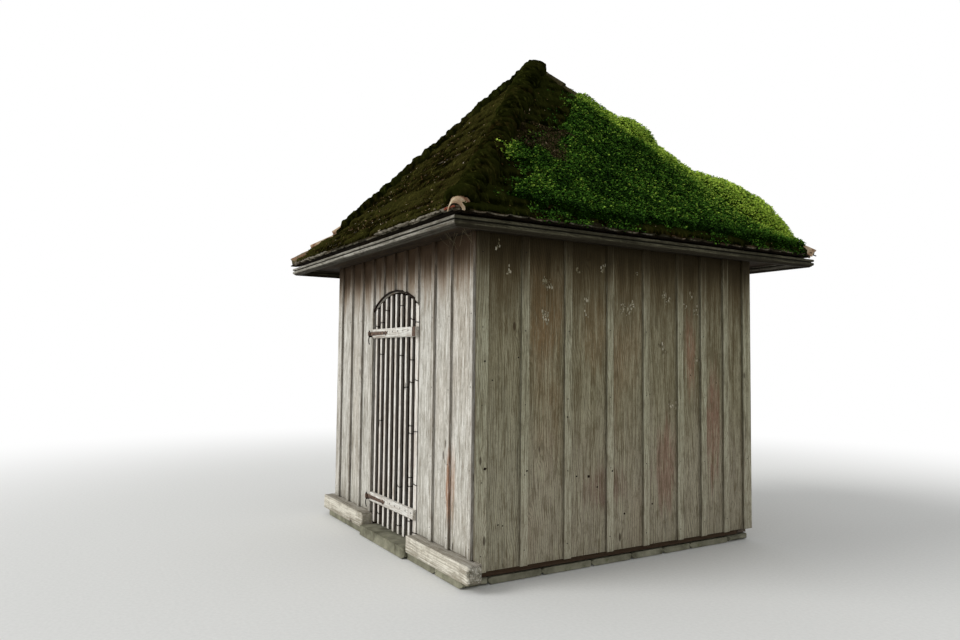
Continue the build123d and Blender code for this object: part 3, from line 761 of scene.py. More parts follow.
lichen_crust = stone("eave_lichen", (146, 140, 126), (96, 89, 76), (58, 54, 36))
dry_moss = moss("olive_brown_moss", *OLIVE_MOSS, 0.40, 0)
side_moss = moss("olive_side_moss", *OLIVE_MOSS, 0.40, 1)
# Dark moss for the right slope beside the carpet, the hips and the apex; on the right slope it is partly
# painted shade.
margin_moss = moss("dark_margin_moss", (5, 7, 0), (23, 26, 5), (54, 58, 22), (40, 30, 13), 0.50, 1)
green_moss = moss("deep_green_moss", (4, 14, 0), (16, 34, 2), (40, 66, 8), (32, 32, 8), 0.10)
# The brightest stop of the green leaves is mostly reached by the leaves painted as sunlit near the far hip.
green_leaf = leaf(
    "green_leaves",
    ((0.0, (8, 24, 2)), (0.3, (35, 66, 16)), (0.62, (86, 132, 42)), (1.0, (200, 228, 92))),
)
# Painted shade: the deck under the tiles is coloured much darker than the other timber.
shaded_deck_wood = wood("roof_deck", (52, 42, 28), (36, 29, 19), (20, 15, 9), grain=0, checks=0.4)
shoot_leaf = leaf(
    "moss_shoots",
    ((0.0, (16, 16, 0)), (0.4, (42, 42, 12)), (0.75, (76, 74, 28)), (1.0, (112, 106, 58))),
    0.9,
)
dry_leaf = leaf(
    "leaf_litter",
    ((0.0, (52, 38, 22)), (0.45, (104, 78, 48)), (0.75, (150, 128, 96)), (1.0, (196, 186, 164))),
    0.8,
)
withered_leaf = leaf(
    "withered_leaf",
    ((0.0, (22, 18, 8)), (0.40, (62, 53, 32)), (0.75, (104, 90, 64)), (1.0, (150, 134, 110))),
    0.85,
)
web = leaf(
    "cobweb_tufts",
    ((0.0, (96, 88, 66)), (0.5, (136, 128, 104)), (1.0, (190, 184, 164))), 0.9,
)


# Boards and timbers

# Sides of the chapel: axis along the wall, axis through it and the sign of its outside
SIDES = {"front": (0, 1, -1), "right": (1, 0, 1), "left": (1, 0, -1), "back": (0, 1, 1)}
STRIPS = {side: solids(f"{side}_battens") for side in SIDES}


def rounded_outline(half_u, half_v, radius, cuts_u, cuts_v, extra_u=()):
    """Points round a rectangle with eased corners, anticlockwise. extra_u adds points on both long sides."""
    flat_u, flat_v = half_u - radius, half_v - radius
    us = sorted([*np.linspace(-flat_u, flat_u, cuts_u + 1), *extra_u])
    vs = np.linspace(-flat_v, flat_v, cuts_v + 1)
    eased = radius * 0.3
    points = [(u, -half_v) for u in us] + [(half_u - eased, -half_v + eased)]
    points += [(half_u, v) for v in vs] + [(half_u - eased, half_v - eased)]
    points += [(u, half_v) for u in us[::-1]] + [(-half_u + eased, half_v - eased)]
    points += [(-half_u, v) for v in vs[::-1]] + [(-half_u + eased, -half_v + eased)]
    return np.array(points)


def tube_faces(rings, count):
    """Quads between rings of count points each, closed by a face at both ends."""
    faces = []
    for ring in range(rings - 1):
        for index in range(count):
            following = (index + 1) % count
            here, there = ring * count, (ring + 1) * count
            faces.append((here + index, here + following, there + following, there + index))
    faces.append(tuple(range(count))[::-1])
    faces.append(tuple((rings - 1) * count + index for index in range(count)))
    return faces


def timber(shape, low, high, axis, kind, seed, tone=None, foot=None, head=None, extra_u=(), cup=0.0):
    """A worn piece between two corners, running along axis, never larger than its box.

    kind is one of the kinds above. foot and head give the height of the lower and upper end over
    the place across. cup hollows or bows the wide faces, and extra_u adds places across them.
    """
    radius, cells, cuts, wear = kind
    low, high = np.asarray(low, float), np.asarray(high, float)
    u_axis, v_axis = [a for a in range(3) if a != axis]
    half = (high - low) / 2
    middle = (high + low) / 2
    flip = half[u_axis] < half[v_axis]
    if flip:
        u_axis, v_axis = v_axis, u_axis
    extra = [value - middle[u_axis] for value in extra_u]
    outline = rounded_outline(half[u_axis], half[v_axis], radius, *cuts, extra)
    ends = np.array([0.0, radius * 0.9])
    inner = np.linspace(ends[1], 2 * half[axis] - ends[1], cells + 1)
    stations = np.concatenate([[0.0], inner, [2 * half[axis]]])
    points = []
    for index, station in enumerate(stations):
        ring = outline.copy()
        if index in (0, len(stations) - 1):
            ring = np.sign(ring) * np.maximum(np.abs(ring) - radius * 0.7, 0)
        place = np.zeros((len(ring), 3))
        place[:, axis] = low[axis] + station
        place[:, u_axis] = middle[u_axis] + ring[:, 0]
        place[:, v_axis] = middle[v_axis] + ring[:, 1]
        points.append(place)
    count = len(outline)
    points = np.concatenate(points)
    around = np.tile(outline, (len(stations), 1))
    share = np.abs(around) / (half[u_axis], half[v_axis])
    stretch = np.full(3, WEAR_ACROSS)
    stretch[axis] = WEAR_ALONG
    rough = layered(points + seed * 1.37, stretch, seed, 2)
    depth = wear * (0.25 + 1.2 * rough)
    bowing = cup * (1 - share[:, 0] ** 2) if cup > 0 else -cup * share[:, 0] ** 2
    outer_u, outer_v = share[:, 0] > 0.97, share[:, 1] > 0.97
    points[:, u_axis] -= np.sign(around[:, 0]) * np.where(outer_u, depth, 0)
    points[:, v_axis] -= np.sign(around[:, 1]) * np.where(outer_v, depth + bowing, 0)
    part = (points[:, axis] - low[axis]) / (high[axis] - low[axis])
    if foot or head:
        ends_low = foot(points[:, u_axis]) if foot else low[axis]
        ends_high = head(points[:, u_axis]) if head else high[axis]
        points[:, axis] = ends_low + part * (ends_high - ends_low)
    faces = tube_faces(len(stations), count)
    turned = np.linalg.det(np.eye(3)[[u_axis, v_axis, axis]])
    if turned < 0:
        faces = [face[::-1] for face in faces]
    shape.add(points, faces, tone_of(seed) if tone is None else tone, share[:, 0])


def tone_of(seed):
    """A repeatable tone from 0 to 1 for a board."""
    return float(lattice(*np.array([seed * 7 + 1, seed * 13 + 5, 3]), 11))


def board_edges(low, high, strips, axis):
    """Places of the board joints along a wall: its ends and the middle of each strip between them."""
    inside = [
        (a[axis] + b[axis]) / 2 for a, b in strips
        if a[axis] > low[axis] + 0.001 and b[axis] < high[axis] - 0.001
    ]
    return [low[axis], *sorted(inside), high[axis]]


def board_wall(name, nodes, side, material, slot, seed, foot=None):
    """The boards of one wall, one for each bay, with joints behind the cover strips."""
    shape = Shape()
    axis = SIDES[side][0]
    for node in nodes:
        low, high = box(node)
        edges = board_edges(low, high, STRIPS[side], axis)
        for index, (start, end) in enumerate(zip(edges, edges[1:])):
            seed += 1
            gap = BOARD_GAP + BOARD_SPREAD * tone_of(seed + 40)
            board_low, board_high = low.copy(), high.copy()
            board_low[axis] = start + (gap if index else 0)
            board_high[axis] = end - gap
            cup = BOARD_CUP * (tone_of(seed + 80) * 2 - 1)
            timber(shape, board_low, board_high, 2, BOARD, seed, foot=foot, cup=cup)
    return shape.build(name, material, slot, replaces=nodes)


def strip_set(side, material, slot, seed, foot_over=None):
    """Cover strips with worn, eased edges. foot_over gives a foot line for strips above the door."""
    shape = Shape()
    for index, (low, high) in enumerate(STRIPS[side]):
        above_door = low[2] > sill_top + 1.0
        foot, extra = foot_over if above_door else None, ()
        if low[1] < sill_back_face - 0.01 and high[1] > sill_back_face + 0.01:
            foot, extra = notched_foot, notch
        timber(shape, low, high, 2, STRIP, seed + index, foot=foot, extra_u=extra)
    return shape.build(f"{side}_cover_strips", material, slot, replaces=[f"{side}_battens"])


# Doorway arch and front sill, as built

over_low, over_high = box("front_wall_over")
arch_middle = (over_low[0] + over_high[0]) / 2
arch_half = (over_high[0] - over_low[0]) / 2
arch_radius = (arch_half ** 2 + ARCH_RISE ** 2) / (2 * ARCH_RISE)
arch_crown = over_low[2] + ARCH_RISE


def arch_height(x, shrink=0.0):
    """Height of the door head over a place across, lower by shrink."""
    reach = np.clip(np.abs(np.asarray(x) - arch_middle), 0, arch_half)
    return arch_crown - arch_radius + np.sqrt((arch_radius - shrink) ** 2 - reach ** 2)


sill_back_face = box("sill_front_right")[1][1]
sill_top = box("sill_front_right")[1][2]
side_foot = box("right_wall")[0][2]


def notched_foot(place):
    """The front corner strips stop on the sill's end and hang lower behind it."""
    return np.where(np.asarray(place) < sill_back_face, sill_top, side_foot)


notch = (sill_back_face - NOTCH_EDGE, sill_back_face + NOTCH_EDGE)

front_walls = ["front_wall_left", "front_wall_right"]
board_wall("front_boards", front_walls, "front", front_wood, "front_boards", 10)
board_wall("arch_boards", ["front_wall_over"], "front", front_wood, "front_boards", 30, arch_height)
for side, seed in (("right", 50), ("left", 70), ("back", 90)):
    board_wall(f"{side}_boards", [f"{side}_wall"], side, side_wood, "side_boards", seed)
strip_set("front", front_strip_wood, "front_boards", 110, lambda x: arch_height(x) + 2 * TWIG_RADIUS)
for side, seed in (("right", 130), ("left", 150), ("back", 170)):
    strip_set(side, side_strip_wood, "side_boards", seed)


def beams(name, nodes, axis, material, slot, seed):
    """Weathered beams in place of plain ones."""
    shape = Shape()
    for node in nodes:
        for low, high in solids(node):
            seed += 1
            timber(shape, low, high, axis, BEAM, seed)
    return shape.build(name, material, slot, replaces=nodes)


beams("front_sills", ["sill_front_left", "sill_front_right"], 0, sill_wood, "sill_timber", 200)
beams("side_sills", ["sill_left", "sill_right"], 1, side_sill_wood, "sill_timber", 210)
beams("back_sill", ["sill_back"], 0, sill_wood, "sill_timber", 220)


# Stone


def rough_stone(shape, low, high, kind, seed, tone=None):
    """One stone with uneven faces and rounded corners, inside its box."""
    timber(shape, low, high, int(np.argmax(high - low)), kind, seed, tone)


def stone_row(name, nodes, material, slot, seed):
    """Footings as rows of stones, each a bit different in length."""
    shape = Shape()
    for node in nodes:
        for low, high in solids(node):
            axis = int(np.argmax(high - low))
            span = high[axis] - low[axis]
            count = max(1, round(span / STONE_LENGTH))
            shares = np.array([0.7 + 0.6 * tone_of(seed + i) for i in range(count)])
            ends = low[axis] + np.concatenate([[0], np.cumsum(shares / shares.sum())]) * span
            for start, end in zip(ends, ends[1:]):
                seed += 1
                stone_low, stone_high = low.copy(), high.copy()
                stone_low[axis], stone_high[axis] = start, end - STONE_JOINT
                rough_stone(shape, stone_low, stone_high, STONE, seed)
    return shape.build(name, material, slot, replaces=nodes)


stone_row(
    "footing_stones", ["footings_front", "footings_side", "footing_back"], footing_stone,
    "footing_stone", 300,
)
threshold = Shape()
rough_stone(threshold, *box("threshold_stone"), STEP_STONE, 340, 0.1)
threshold.build("worn_threshold", footing_stone, "footing_stone", replaces=["threshold_stone"])


# Gate


slats = solids("gate_slats")


def gate_slats():
    """Slats with eased edges, heads cut along the arch."""
    shape = Shape()
    for index, (low, high) in enumerate(slats):
        high = high.copy()
        high[2] = arch_crown
        timber(shape, low, high, 2, SLAT, 400 + index, head=lambda x: arch_height(x, SLAT_HEAD_GAP))
    return shape.build("slats", gate_wood, "gate_wood", body="gate", replaces=["gate_slats"])


gate_slats()


# Roof


def turned(points, degrees):
    """Points drawn for the slope at +X, turned about the middle of the roof."""
    angle = math.radians(degrees)
    cos, sin = round(math.cos(angle)), round(math.sin(angle))
    x, y = points[..., 0] * cos - points[..., 1] * sin, points[..., 0] * sin + points[..., 1] * cos
    return np.stack([x, y, points[..., 2]], -1)


class Slope:
    """One roof slope. A place on it is (along the eave, up from the eave), with a height over it."""

    def __init__(self, name):
        self.turn = {"right": 0, "back": 90, "left": 180, "front": 270}[name]
        across = 0 if name in ("left", "right") else 1
        self.half_span = HIGH[across]
        self.half_eave = HIGH[1 - across]
        low, high = box(f"roof_{name}")
        self.soffit = low[2]
        self.edge_height = low[2] + TILE_EDGE
        self.peak = high[2]
        kick_run = KICK_RUN * self.half_span / HIGH[0]
        self.kick = np.array([self.half_span - kick_run, self.edge_height + KICK_RISE])
        self.foot = np.array([self.half_span, self.edge_height])
        self.top = np.array([0.0, self.peak])
        self.kick_length = float(np.linalg.norm(self.kick - self.foot))
        self.length = self.kick_length + float(np.linalg.norm(self.top - self.kick))

    def line(self, up):
        """Distance out from the middle and height, rounded at the kick."""
        up = np.asarray(up, float)
        low_way = (self.kick - self.foot) / self.kick_length
        high_way = (self.top - self.kick) / (self.length - self.kick_length)
        start = self.kick - low_way * KICK_ROUNDING
        end = self.kick + high_way * KICK_ROUNDING
        part = np.clip((up - self.kick_length + KICK_ROUNDING) / (2 * KICK_ROUNDING), 0, 1)[..., None]
        curve = (1 - part) ** 2 * start + 2 * part * (1 - part) * self.kick + part ** 2 * end
        below = self.foot + low_way * up[..., None]
        above = self.kick + high_way * (up - self.kick_length)[..., None]
        place = np.where(part <= 0, below, np.where(part >= 1, above, curve))
        return place, unit(low_way * (1 - part) + high_way * part)

    def point(self, along, up, lift=0.0):
        """World points at places on the slope."""
        along, up = np.broadcast_arrays(np.asarray(along, float), np.asarray(up, float))
        place, way = self.line(up)
        out = place[..., 0] + way[..., 1] * lift
        height = place[..., 1] - way[..., 0] * lift
        return turned(np.stack([out, along, height], -1), self.turn)

    def directions(self, up):
        """World directions along the eave, up the slope and out of it."""
        _, way = self.line(np.asarray(up, float))
        zero = np.zeros_like(way[..., 0])
        along = np.stack([zero, zero + 1, zero], -1)
        climb = np.stack([way[..., 0], zero, way[..., 1]], -1)
        normal = np.stack([way[..., 1], zero, -way[..., 0]], -1)
        return [turned(vectors, self.turn) for vectors in (along, climb, normal)]

    def limit(self, up):
        """Half the width of the slope at a height."""
        place, _ = self.line(up)
        return self.half_eave * place[..., 0] / self.half_span

    def share(self, up):
        """Share of the way in from the eave to the peak, in plan."""
        place, _ = self.line(up)
        return 1 - place[..., 0] / self.half_span


SLOPES = {name: Slope(name) for name in ("front", "right", "back", "left")}


def deck(name):
    """The dark boards and laths under the tiles, from hip to hip."""
    slope = SLOPES[name]
    up = np.concatenate([[DECK_SETBACK], np.linspace(0.12, slope.length, 24)])
    side = np.linspace(-1, 1, 9)
    along = slope.limit(up)[:, None] * side[None, :]
    rows = np.broadcast_to(up[:, None], along.shape)
    top = slope.point(along, rows, DECK_TOP)
    bottom = slope.point(along, rows, DECK_FOOT)
    bottom[..., 2] = np.maximum(bottom[..., 2], slope.soffit + 0.001)
    count = along.size
    index = np.arange(count).reshape(along.shape)
    faces = []
    for row in range(len(up) - 1):
        for column in range(len(side) - 1):
            quad = [*index[row, column:column + 2], *index[row + 1, column:column + 2][::-1]]
            faces += [quad[::-1], [i + count for i in quad]]
    rim = [*index[0], *index[1:, -1], *index[-1, -2::-1], *index[-2:0:-1, 0]]
    for first, second in zip(rim, [*rim[1:], rim[0]]):
        faces.append([first, second, second + count, first + count])
    shape = Shape()
    shape.add(np.concatenate([top.reshape(-1, 3), bottom.reshape(-1, 3)]), faces)
    return shape.build(f"deck_{name}", shaded_deck_wood, "roof_tile")


def tile_outline(width, length, cuts=6):
    """Plan of a beaver-tail tile from its lower end up: a rounded tail and straight sides."""
    across = np.linspace(-1, 1, cuts + 1)
    curve = [(width / 2 * u, TILE_TAIL * (1 - math.sqrt(1 - (u * 0.94) ** 2))) for u in across]
    return np.array([*curve, (width / 2, length), (-width / 2, length)])


def tail_lift(up):
    """Height over the slab of a tile's lower end: flush at the eave and a little proud above."""
    return EAVE_TILE_LIFT + (TILE_LIFT - EAVE_TILE_LIFT) * ease(up, 0.0, 0.30)


def tile_slope(name, seed):
    """All tiles of one slope, in overlapping courses."""
    slope = SLOPES[name]
    rng = np.random.default_rng(seed)
    shape = Shape()
    length = TILE_EXPOSURE + TILE_LAP
    for course in range(int((slope.length - EAVE_INSET) / TILE_EXPOSURE) + 1):
        start = EAVE_INSET + course * TILE_EXPOSURE
        half = slope.limit(np.array(start)) + TILE_WIDTH
        shift = TILE_WIDTH / 2 if course % 2 else 0.0
        places = np.arange(-math.ceil(half / TILE_WIDTH), math.ceil(half / TILE_WIDTH) + 1)
        for place in places * TILE_WIDTH + shift:
            if abs(place) > half:
                continue
            slip, turn, rise = rng.normal(0, TILE_SPREAD)
            tone = rng.random()
            outline = tile_outline(TILE_WIDTH - TILE_JOINT, length)
            along = outline[:, 0] + outline[:, 1] * turn + place
            up = start + max(slip, LEAST_SLIP) + outline[:, 1] - outline[:, 0] * turn
            up = np.clip(up, 0.002, slope.length)
            limit = slope.limit(up)
            if np.all(np.abs(along) > limit):
                continue
            along = np.clip(along, -limit, limit)
            top_lift = tail_lift(start) + rise - TILE_FALL * outline[:, 1] / length
            top = slope.point(along, up, top_lift)
            eased = slope.point(along * 0.999 + place * 0.001, up - 0.0015, top_lift - 0.004)
            bottom = slope.point(along, up, top_lift - TILE_THICK)
            count = len(outline)
            faces = [tuple(range(count))]
            for upper in (0, count):
                lower = upper + count
                for index in range(count):
                    following = (index + 1) % count
                    faces.append((upper + following, upper + index, lower + index, lower + following))
            faces.append(tuple(2 * count + index for index in range(count))[::-1])
            edge = np.concatenate([np.zeros(count), np.ones(count), np.ones(count) * 0.6])
            shape.add(np.concatenate([top, eased, bottom]), faces, tone, edge)
    return shape.build(f"tiles_{name}", roof_clay, "roof_tile", replaces=[f"roof_{name}"], angle=30)


for offset, name in enumerate(SLOPES):
    deck(name)
    tile_slope(name, 500 + offset)


def course_phase(up):
    """0 at the lower end of a tile and 1 where the next course starts."""
    return np.mod(up - EAVE_INSET, TILE_EXPOSURE) / TILE_EXPOSURE


def tile_surface(up):
    """Height of the tiles over the slab."""
    phase = course_phase(up)
    return tail_lift(up) - TILE_FALL * phase * TILE_EXPOSURE / (TILE_EXPOSURE + TILE_LAP)


def sheet(points, grown, tone, crest):
    """Faces of a grid of points where growth stands, as one open sheet."""
    index = np.arange(grown.size).reshape(grown.shape)
    quad = np.stack([index[:-1, :-1], index[:-1, 1:], index[1:, 1:], index[1:, :-1]], -1)
    faces = quad[np.any(grown.ravel()[quad], axis=-1)]
    used, faces = np.unique(faces.reshape(-1, 4), return_inverse=True)
    faces = faces.reshape(-1, 4).tolist()
    shape = Shape()
    shape.add(points.reshape(-1, 3)[used], faces, tone.ravel()[used], crest.ravel()[used])
    return shape


def blanket(name, depth, material, seed):
    """A sheet of moss over the tiles of a slope. depth gives its height at (along, up, points)."""
    slope = SLOPES[name]
    head = slope.length - 0.02
    up = np.linspace(0.006, head, int(head / MOSS_STEP))
    side = np.linspace(-1, 1, int(2 * slope.half_eave / MOSS_STEP)) * slope.half_eave
    along = np.broadcast_to(side[None, :], (len(up), len(side)))
    up = np.broadcast_to(up[:, None], along.shape)
    limit = slope.limit(up)
    inside = np.abs(along) <= limit + MOSS_STEP
    along = np.clip(along, -limit, limit)
    flat = slope.point(along, up)
    rng = np.random.default_rng(seed)
    jitter = rng.uniform(-0.35, 0.35, (2, *along.shape)) * MOSS_STEP
    height = depth(along, up, flat)
    grown = (height > 0.001) & inside
    points = slope.point(
        np.clip(along + jitter[0], -limit, limit), np.clip(up + jitter[1], 0.004, slope.length),
        tile_surface(up) + np.where(grown, height, 0) - MOSS_SINK,
    )
    dead = layered(points, 3.0, seed + 9)
    shape = sheet(points, grown, ease(dead, 0.45, 0.7), ease(height, 0.012, 0.032))
    return shape.build(f"moss_{name}", material, "roof_tile", angle=0)


def course_moss(cover, thick, bare=0.06):
    """Moss that gathers in long cushions along the courses. cover is the share of tiles grown over
    and bare the width of the clean strip at the eave."""
    def depth(along, up, points):
        patch = layered(points, 1.7, 71, 3)
        clump = layered(points, 9.0, 83, 3)
        grain = field(points, 55.0, 97)
        places = np.stack([along * 1.3, up * 7.5, np.zeros(along.shape)], -1)
        band = layered(places, 1.0, 89, 2)
        phase = course_phase(up)
        ridge = ease(phase, 0.0, 0.30) * (1 - 0.5 * ease(phase, 0.40, 1.0))
        amount = ease(patch * 0.45 + clump * 0.25 + band * 0.30, 1 - cover, 1.13 - cover)
        edge = ease(up + 0.14 * (clump - 0.5) + 0.10 * (band - 0.5), bare, bare + 0.06)
        lumps = 0.42 + 0.34 * ridge + 1.3 * (clump - 0.5) + 1.0 * (band - 0.5)
        cushion = thick * np.clip(lumps, 0.05, 1.25) + 0.007 * grain
        return cushion * amount * edge
    return depth


margin_growth = course_moss(0.96, 0.032, 0.014)

blanket("front", course_moss(0.92, 0.032), dry_moss, 601)
blanket("right", margin_growth, margin_moss, 602)
blanket("back", course_moss(0.84, 0.030), dry_moss, 603)
blanket("left", course_moss(0.80, 0.030), side_moss, 604)


# The carpet of moss and creeper that lies on the right slope and climbs over the far hip


def mound_radius(share):
    """Radius round the far hip line of the swellings of the carpet, over the share of the way up."""
    radius = np.zeros_like(share)
    for foot, crown, head, size in MOUNDS:
        rising = np.sin(np.clip((share - foot) / (crown - foot), 0, 1) * math.pi / 2)
        falling = np.sin(np.clip((head - share) / (head - crown), 0, 1) * math.pi / 2)
        radius = np.maximum(radius, size * np.minimum(rising, falling) ** 0.8)
    return radius


def carpet_mask(slope_name, along, up):
    """Where the carpet grows, from 0 to 1."""
    slope = SLOPES[slope_name]
    flat = slope.point(along, up)
    lobes = (layered(flat, 3.6, 21, 3) - 0.5) * 0.34
    fringe = (layered(flat, 17.0, 25, 2) - 0.5) * 0.16
    if slope_name == "back":
        over = slope.limit(up) + along
        share = slope.share(up)
        reach = 0.10 + 0.75 * mound_radius(share) + lobes * 0.3 + fringe * 0.5
        ends = ease(share, 0.05, 0.10) * (1 - ease(share + lobes * 0.2, 0.70, 0.80))
        return (1 - ease(over, reach, reach + 0.05)) * ends
    foot_line = np.interp(along, *zip(*CARPET_FOOT))
    from_eave = ease(up - foot_line + lobes * 0.25 + fringe, -0.03, 0.05)
    near_line = np.interp(up, *zip(*CARPET_SIDE))
    from_side = ease(along - near_line + lobes * 0.55 + fringe, -0.05, 0.07)
    from_outpost = np.hypot((along - OUTPOST[0]) / OUTPOST[2], (up - OUTPOST[1]) / OUTPOST[3])
    patch = 1 - ease(from_outpost + lobes * 0.6 + fringe, 0.8, 1.05)
    corner = ease(slope.limit(up) - along, 0.0, 0.09) + ease(up, 0.17, 0.27)
    return np.clip(np.maximum(from_eave * from_side, patch), 0, 1) * np.clip(corner, 0, 1)


def carpet_place(slope_name, along, up, offset=0.0):
    """Points on the carpet's surface, offset above it, rolled over the far hip, and its depth."""
    slope = SLOPES[slope_name]
    far = -1 if slope_name == "back" else 1
    flat = slope.point(along, up)
    clump = layered(flat, 4.5, 31, 3)
    knob = layered(flat, 15.0, 47, 2)
    mask = carpet_mask(slope_name, along, up)
    aside = np.maximum(slope.limit(up) - far * along, 0) * HIP_ASIDE
    radius = mound_radius(slope.share(up + HIP_CLIMB * aside)) * (0.93 + 0.14 * clump)
    swell = np.sqrt(np.maximum(radius ** 2 - aside ** 2, 0))
    plain = CARPET_THICK * (0.62 + 0.50 * clump) + 0.016 * (knob - 0.5)
    depth = np.maximum(plain, swell + 0.02 * (knob - 0.5)) * ease(mask, 0.0, 0.75)
    normal = slope.directions(up)[2]
    other = SLOPES["right" if slope_name == "back" else "back"].directions(up)[2]
    mitre = unit(normal + other)
    roll = (1 - ease(aside, 0.0, 0.05 + 0.6 * radius))[..., None]
    way = unit(normal * (1 - roll) + mitre * roll)
    lift = tile_surface(up) * (1 - ease(mask, 0.2, 0.7)) + depth + offset
    return flat + way * lift[..., None], depth, mask, way


def carpet_sheet(slope_name, seed):
    """The body of the carpet on one slope."""
    slope = SLOPES[slope_name]
    up = np.linspace(0.06, slope.length - 0.1, int(slope.length / CARPET_STEP))
    limit = slope.limit(up)[:, None]
    if slope_name == "back":
        side = np.linspace(0, 1, 26)[None, :] * 0.42
        along = side - limit
    else:
        side = 1 - np.linspace(0, 1, int(2 * slope.half_eave / CARPET_STEP)) ** 1.15
        along = np.maximum(limit - (1 - side[None, :]) * 2 * slope.half_eave, -limit)
    up = np.broadcast_to(up[:, None], along.shape)
    points, depth, mask, _ = carpet_place(slope_name, along, up, -0.012)
    rng = np.random.default_rng(seed)
    points = points + rng.normal(0, 0.003, points.shape)
    dead = layered(points, 3.0, seed + 9)
    return sheet(points, mask > 0.05, 0.4 * ease(dead, 0.5, 0.75), ease(depth, 0.05, 0.11))


def carpet_body():
    """The carpet without its leaves: moss and stems."""
    shape = Shape()
    for name, seed in (("right", 611), ("back", 612)):
        shape.join(carpet_sheet(name, seed))
    return shape.build("carpet_body", green_moss, "roof_growth", replaces=["moss_carpet"], angle=0)


carpet_body()


def scatter(name, count, seed, keep):
    """A slope, a source of random numbers and random places on the slope, thinned by keep(along,
    up), which gives a share from 0 to 1."""
    slope = SLOPES[name]
    rng = np.random.default_rng(seed)
    up = slope.length * (1 - np.sqrt(rng.random(count * 3)))
    along = rng.uniform(-1, 1, count * 3) * slope.limit(up)
    chosen = rng.random(count * 3) < keep(along, up)
    return slope, rng, along[chosen][:count], up[chosen][:count]


def tipped(first, second, angle):
    """Two directions at right angles, turned in their plane by an angle."""
    cos, sin = np.cos(angle), np.sin(angle)
    return first * cos + second * sin, second * cos - first * sin


def leaves(shape, origins, frames, lengths, widths, tones, rng, lean=0.5, fold=0.25, comb=None):
    """Small pointed leaves, each of two quads. comb gives the middle of their headings."""
    count = len(origins)
    along, climb, normal = frames
    spin = rng.uniform(0, 2 * math.pi, count) if comb is None else rng.normal(comb, 0.75, count)
    tilt = rng.normal(lean, 0.35, count)[:, None]
    side_lean = rng.normal(0, 0.4, count)[:, None]
    forward, sideways = tipped(along, climb, spin[:, None])
    forward, normal = tipped(forward, normal, tilt)
    sideways, normal = tipped(sideways, normal, side_lean)
    plan = [(0, 0, 0), (0.38, 0.5, 1), (0.78, 0.36, 0.6), (1.0, 0, -0.4), (0.78, -0.36, 0.6), (0.38, -0.5, 1)]
    corners = []
    for ahead, aside, rise in plan:
        corners.append(
            origins + forward * lengths[:, None] * ahead + sideways * widths[:, None] * aside
            + normal * widths[:, None] * rise * fold
        )
    points = np.stack(corners, 1).reshape(-1, 3)
    start = np.arange(count)[:, None] * len(plan)
    halves = np.concatenate([start + [0, 3, 2, 1], start + [0, 5, 4, 3]])
    rib = np.tile([1.0, 0, 0, 0.3, 0, 0], count)
    shape.add(points, halves.tolist(), np.repeat(tones, len(plan)), rib)


def sprout(title, material, places, frames, rng, sizes, width, tone, lean, fold=0.25):
    """A piece of loose leaves. sizes are the least and greatest length, width is a share of it, and
    tone is the mean tone and its spread."""
    count = len(places)
    size = rng.uniform(*sizes, count)
    tones = np.clip(rng.normal(*tone, count), 0, 1)
    shape = Shape()
    leaves(shape, places, frames, size, size * width, tones, rng, lean, fold)
    return shape.build(title, material, "roof_tile", angle=0)


def withered(along, up):
    """The dead, brown parts of the growth near the top of the near hip, from 0 to 1."""
    share = np.zeros(len(up))
    places = SLOPES["right"].point(along, up)
    ragged = (layered(places, 8.0, 63, 3) - 0.5) * 2.2
    for middle_along, middle_up, half_along, half_up in WITHERED:
        reach = np.hypot((along - middle_along) / half_along, (up - middle_up) / half_up)
        share = np.maximum(share, 0.9 * (1 - ease(reach + ragged, 0.60, 1.30)))
    return share


def carpet_leaves(title, slope_name, count, seed, keep):
    """The small leaves of the carpet, combed downhill along the far hip."""
    slope, rng, along, up = scatter(slope_name, count, seed, keep)
    places, depth, _, way = carpet_place(slope_name, along, up, rng.uniform(-0.014, 0.010, len(up)))
    across, climb, _ = slope.directions(up)
    streak_places = np.stack([along * 1.0 + up * HIP_LEAN, up * 0.12, np.zeros(len(up))], -1)
    streak = layered(streak_places, 16.0, 59, 2)
    clump = layered(places, 3.3, 57, 3)
    # Painted sunlight: leaves near the far hip, and toward the far end of the right slope, get lighter tones.
    rim = 1 - ease(np.abs(slope.limit(up) - np.abs(along)), 0.02, 0.42)
    rim += 0.40 * ease(along, 0.5, 1.4) * (slope_name == "right")
    # Painted shade: leaves near the eave get darker tones.
    base = ease(up, 0.06, 0.26)
    tones = 0.12 + 0.36 * clump + 0.40 * (streak - 0.5) + 0.46 * rim + rng.normal(0, 0.19, len(up))
    tones = (tones + 0.08) * (0.45 + 0.55 * base)
    size = rng.uniform(0.014, 0.025, len(up))
    if slope_name == "right":
        size = size * (1 - 0.85 * withered(along, up))
    shape = Shape()
    leaves(
        shape, places, (across, climb, way), size, size * 0.66, np.clip(tones, 0, 1), rng,
        lean=0.55, comb=COMB_HEADING,
    )
    return shape.build(title, green_leaf, "roof_growth", angle=0)


def leafy(slope_name, along, up):
    """Share of the places in the carpet that bear leaves."""
    return ease(carpet_mask(slope_name, along, up), 0.2, 0.6)


def near_rim(along, up):
    """1 at the far hip of the right slope and 0 well inside it."""
    return 1 - ease(SLOPES["right"].limit(up) - along, 0.05, 0.45)


carpet_leaves("carpet_leaves", "right", 44000, 701, lambda a, u: leafy("right", a, u))
carpet_leaves("rim_leaves", "right", 30000, 702, lambda a, u: leafy("right", a, u) * near_rim(a, u))
carpet_leaves("over_hip_leaves", "back", 14000, 703, lambda a, u: leafy("back", a, u))


def margin_points(along, up, lift):
    """Places on the moss of the right slope beside the carpet."""
    slope = SLOPES["right"]
    depth = margin_growth(along, up, slope.point(along, up))
    return slope.point(along, up, tile_surface(up) + depth + lift)


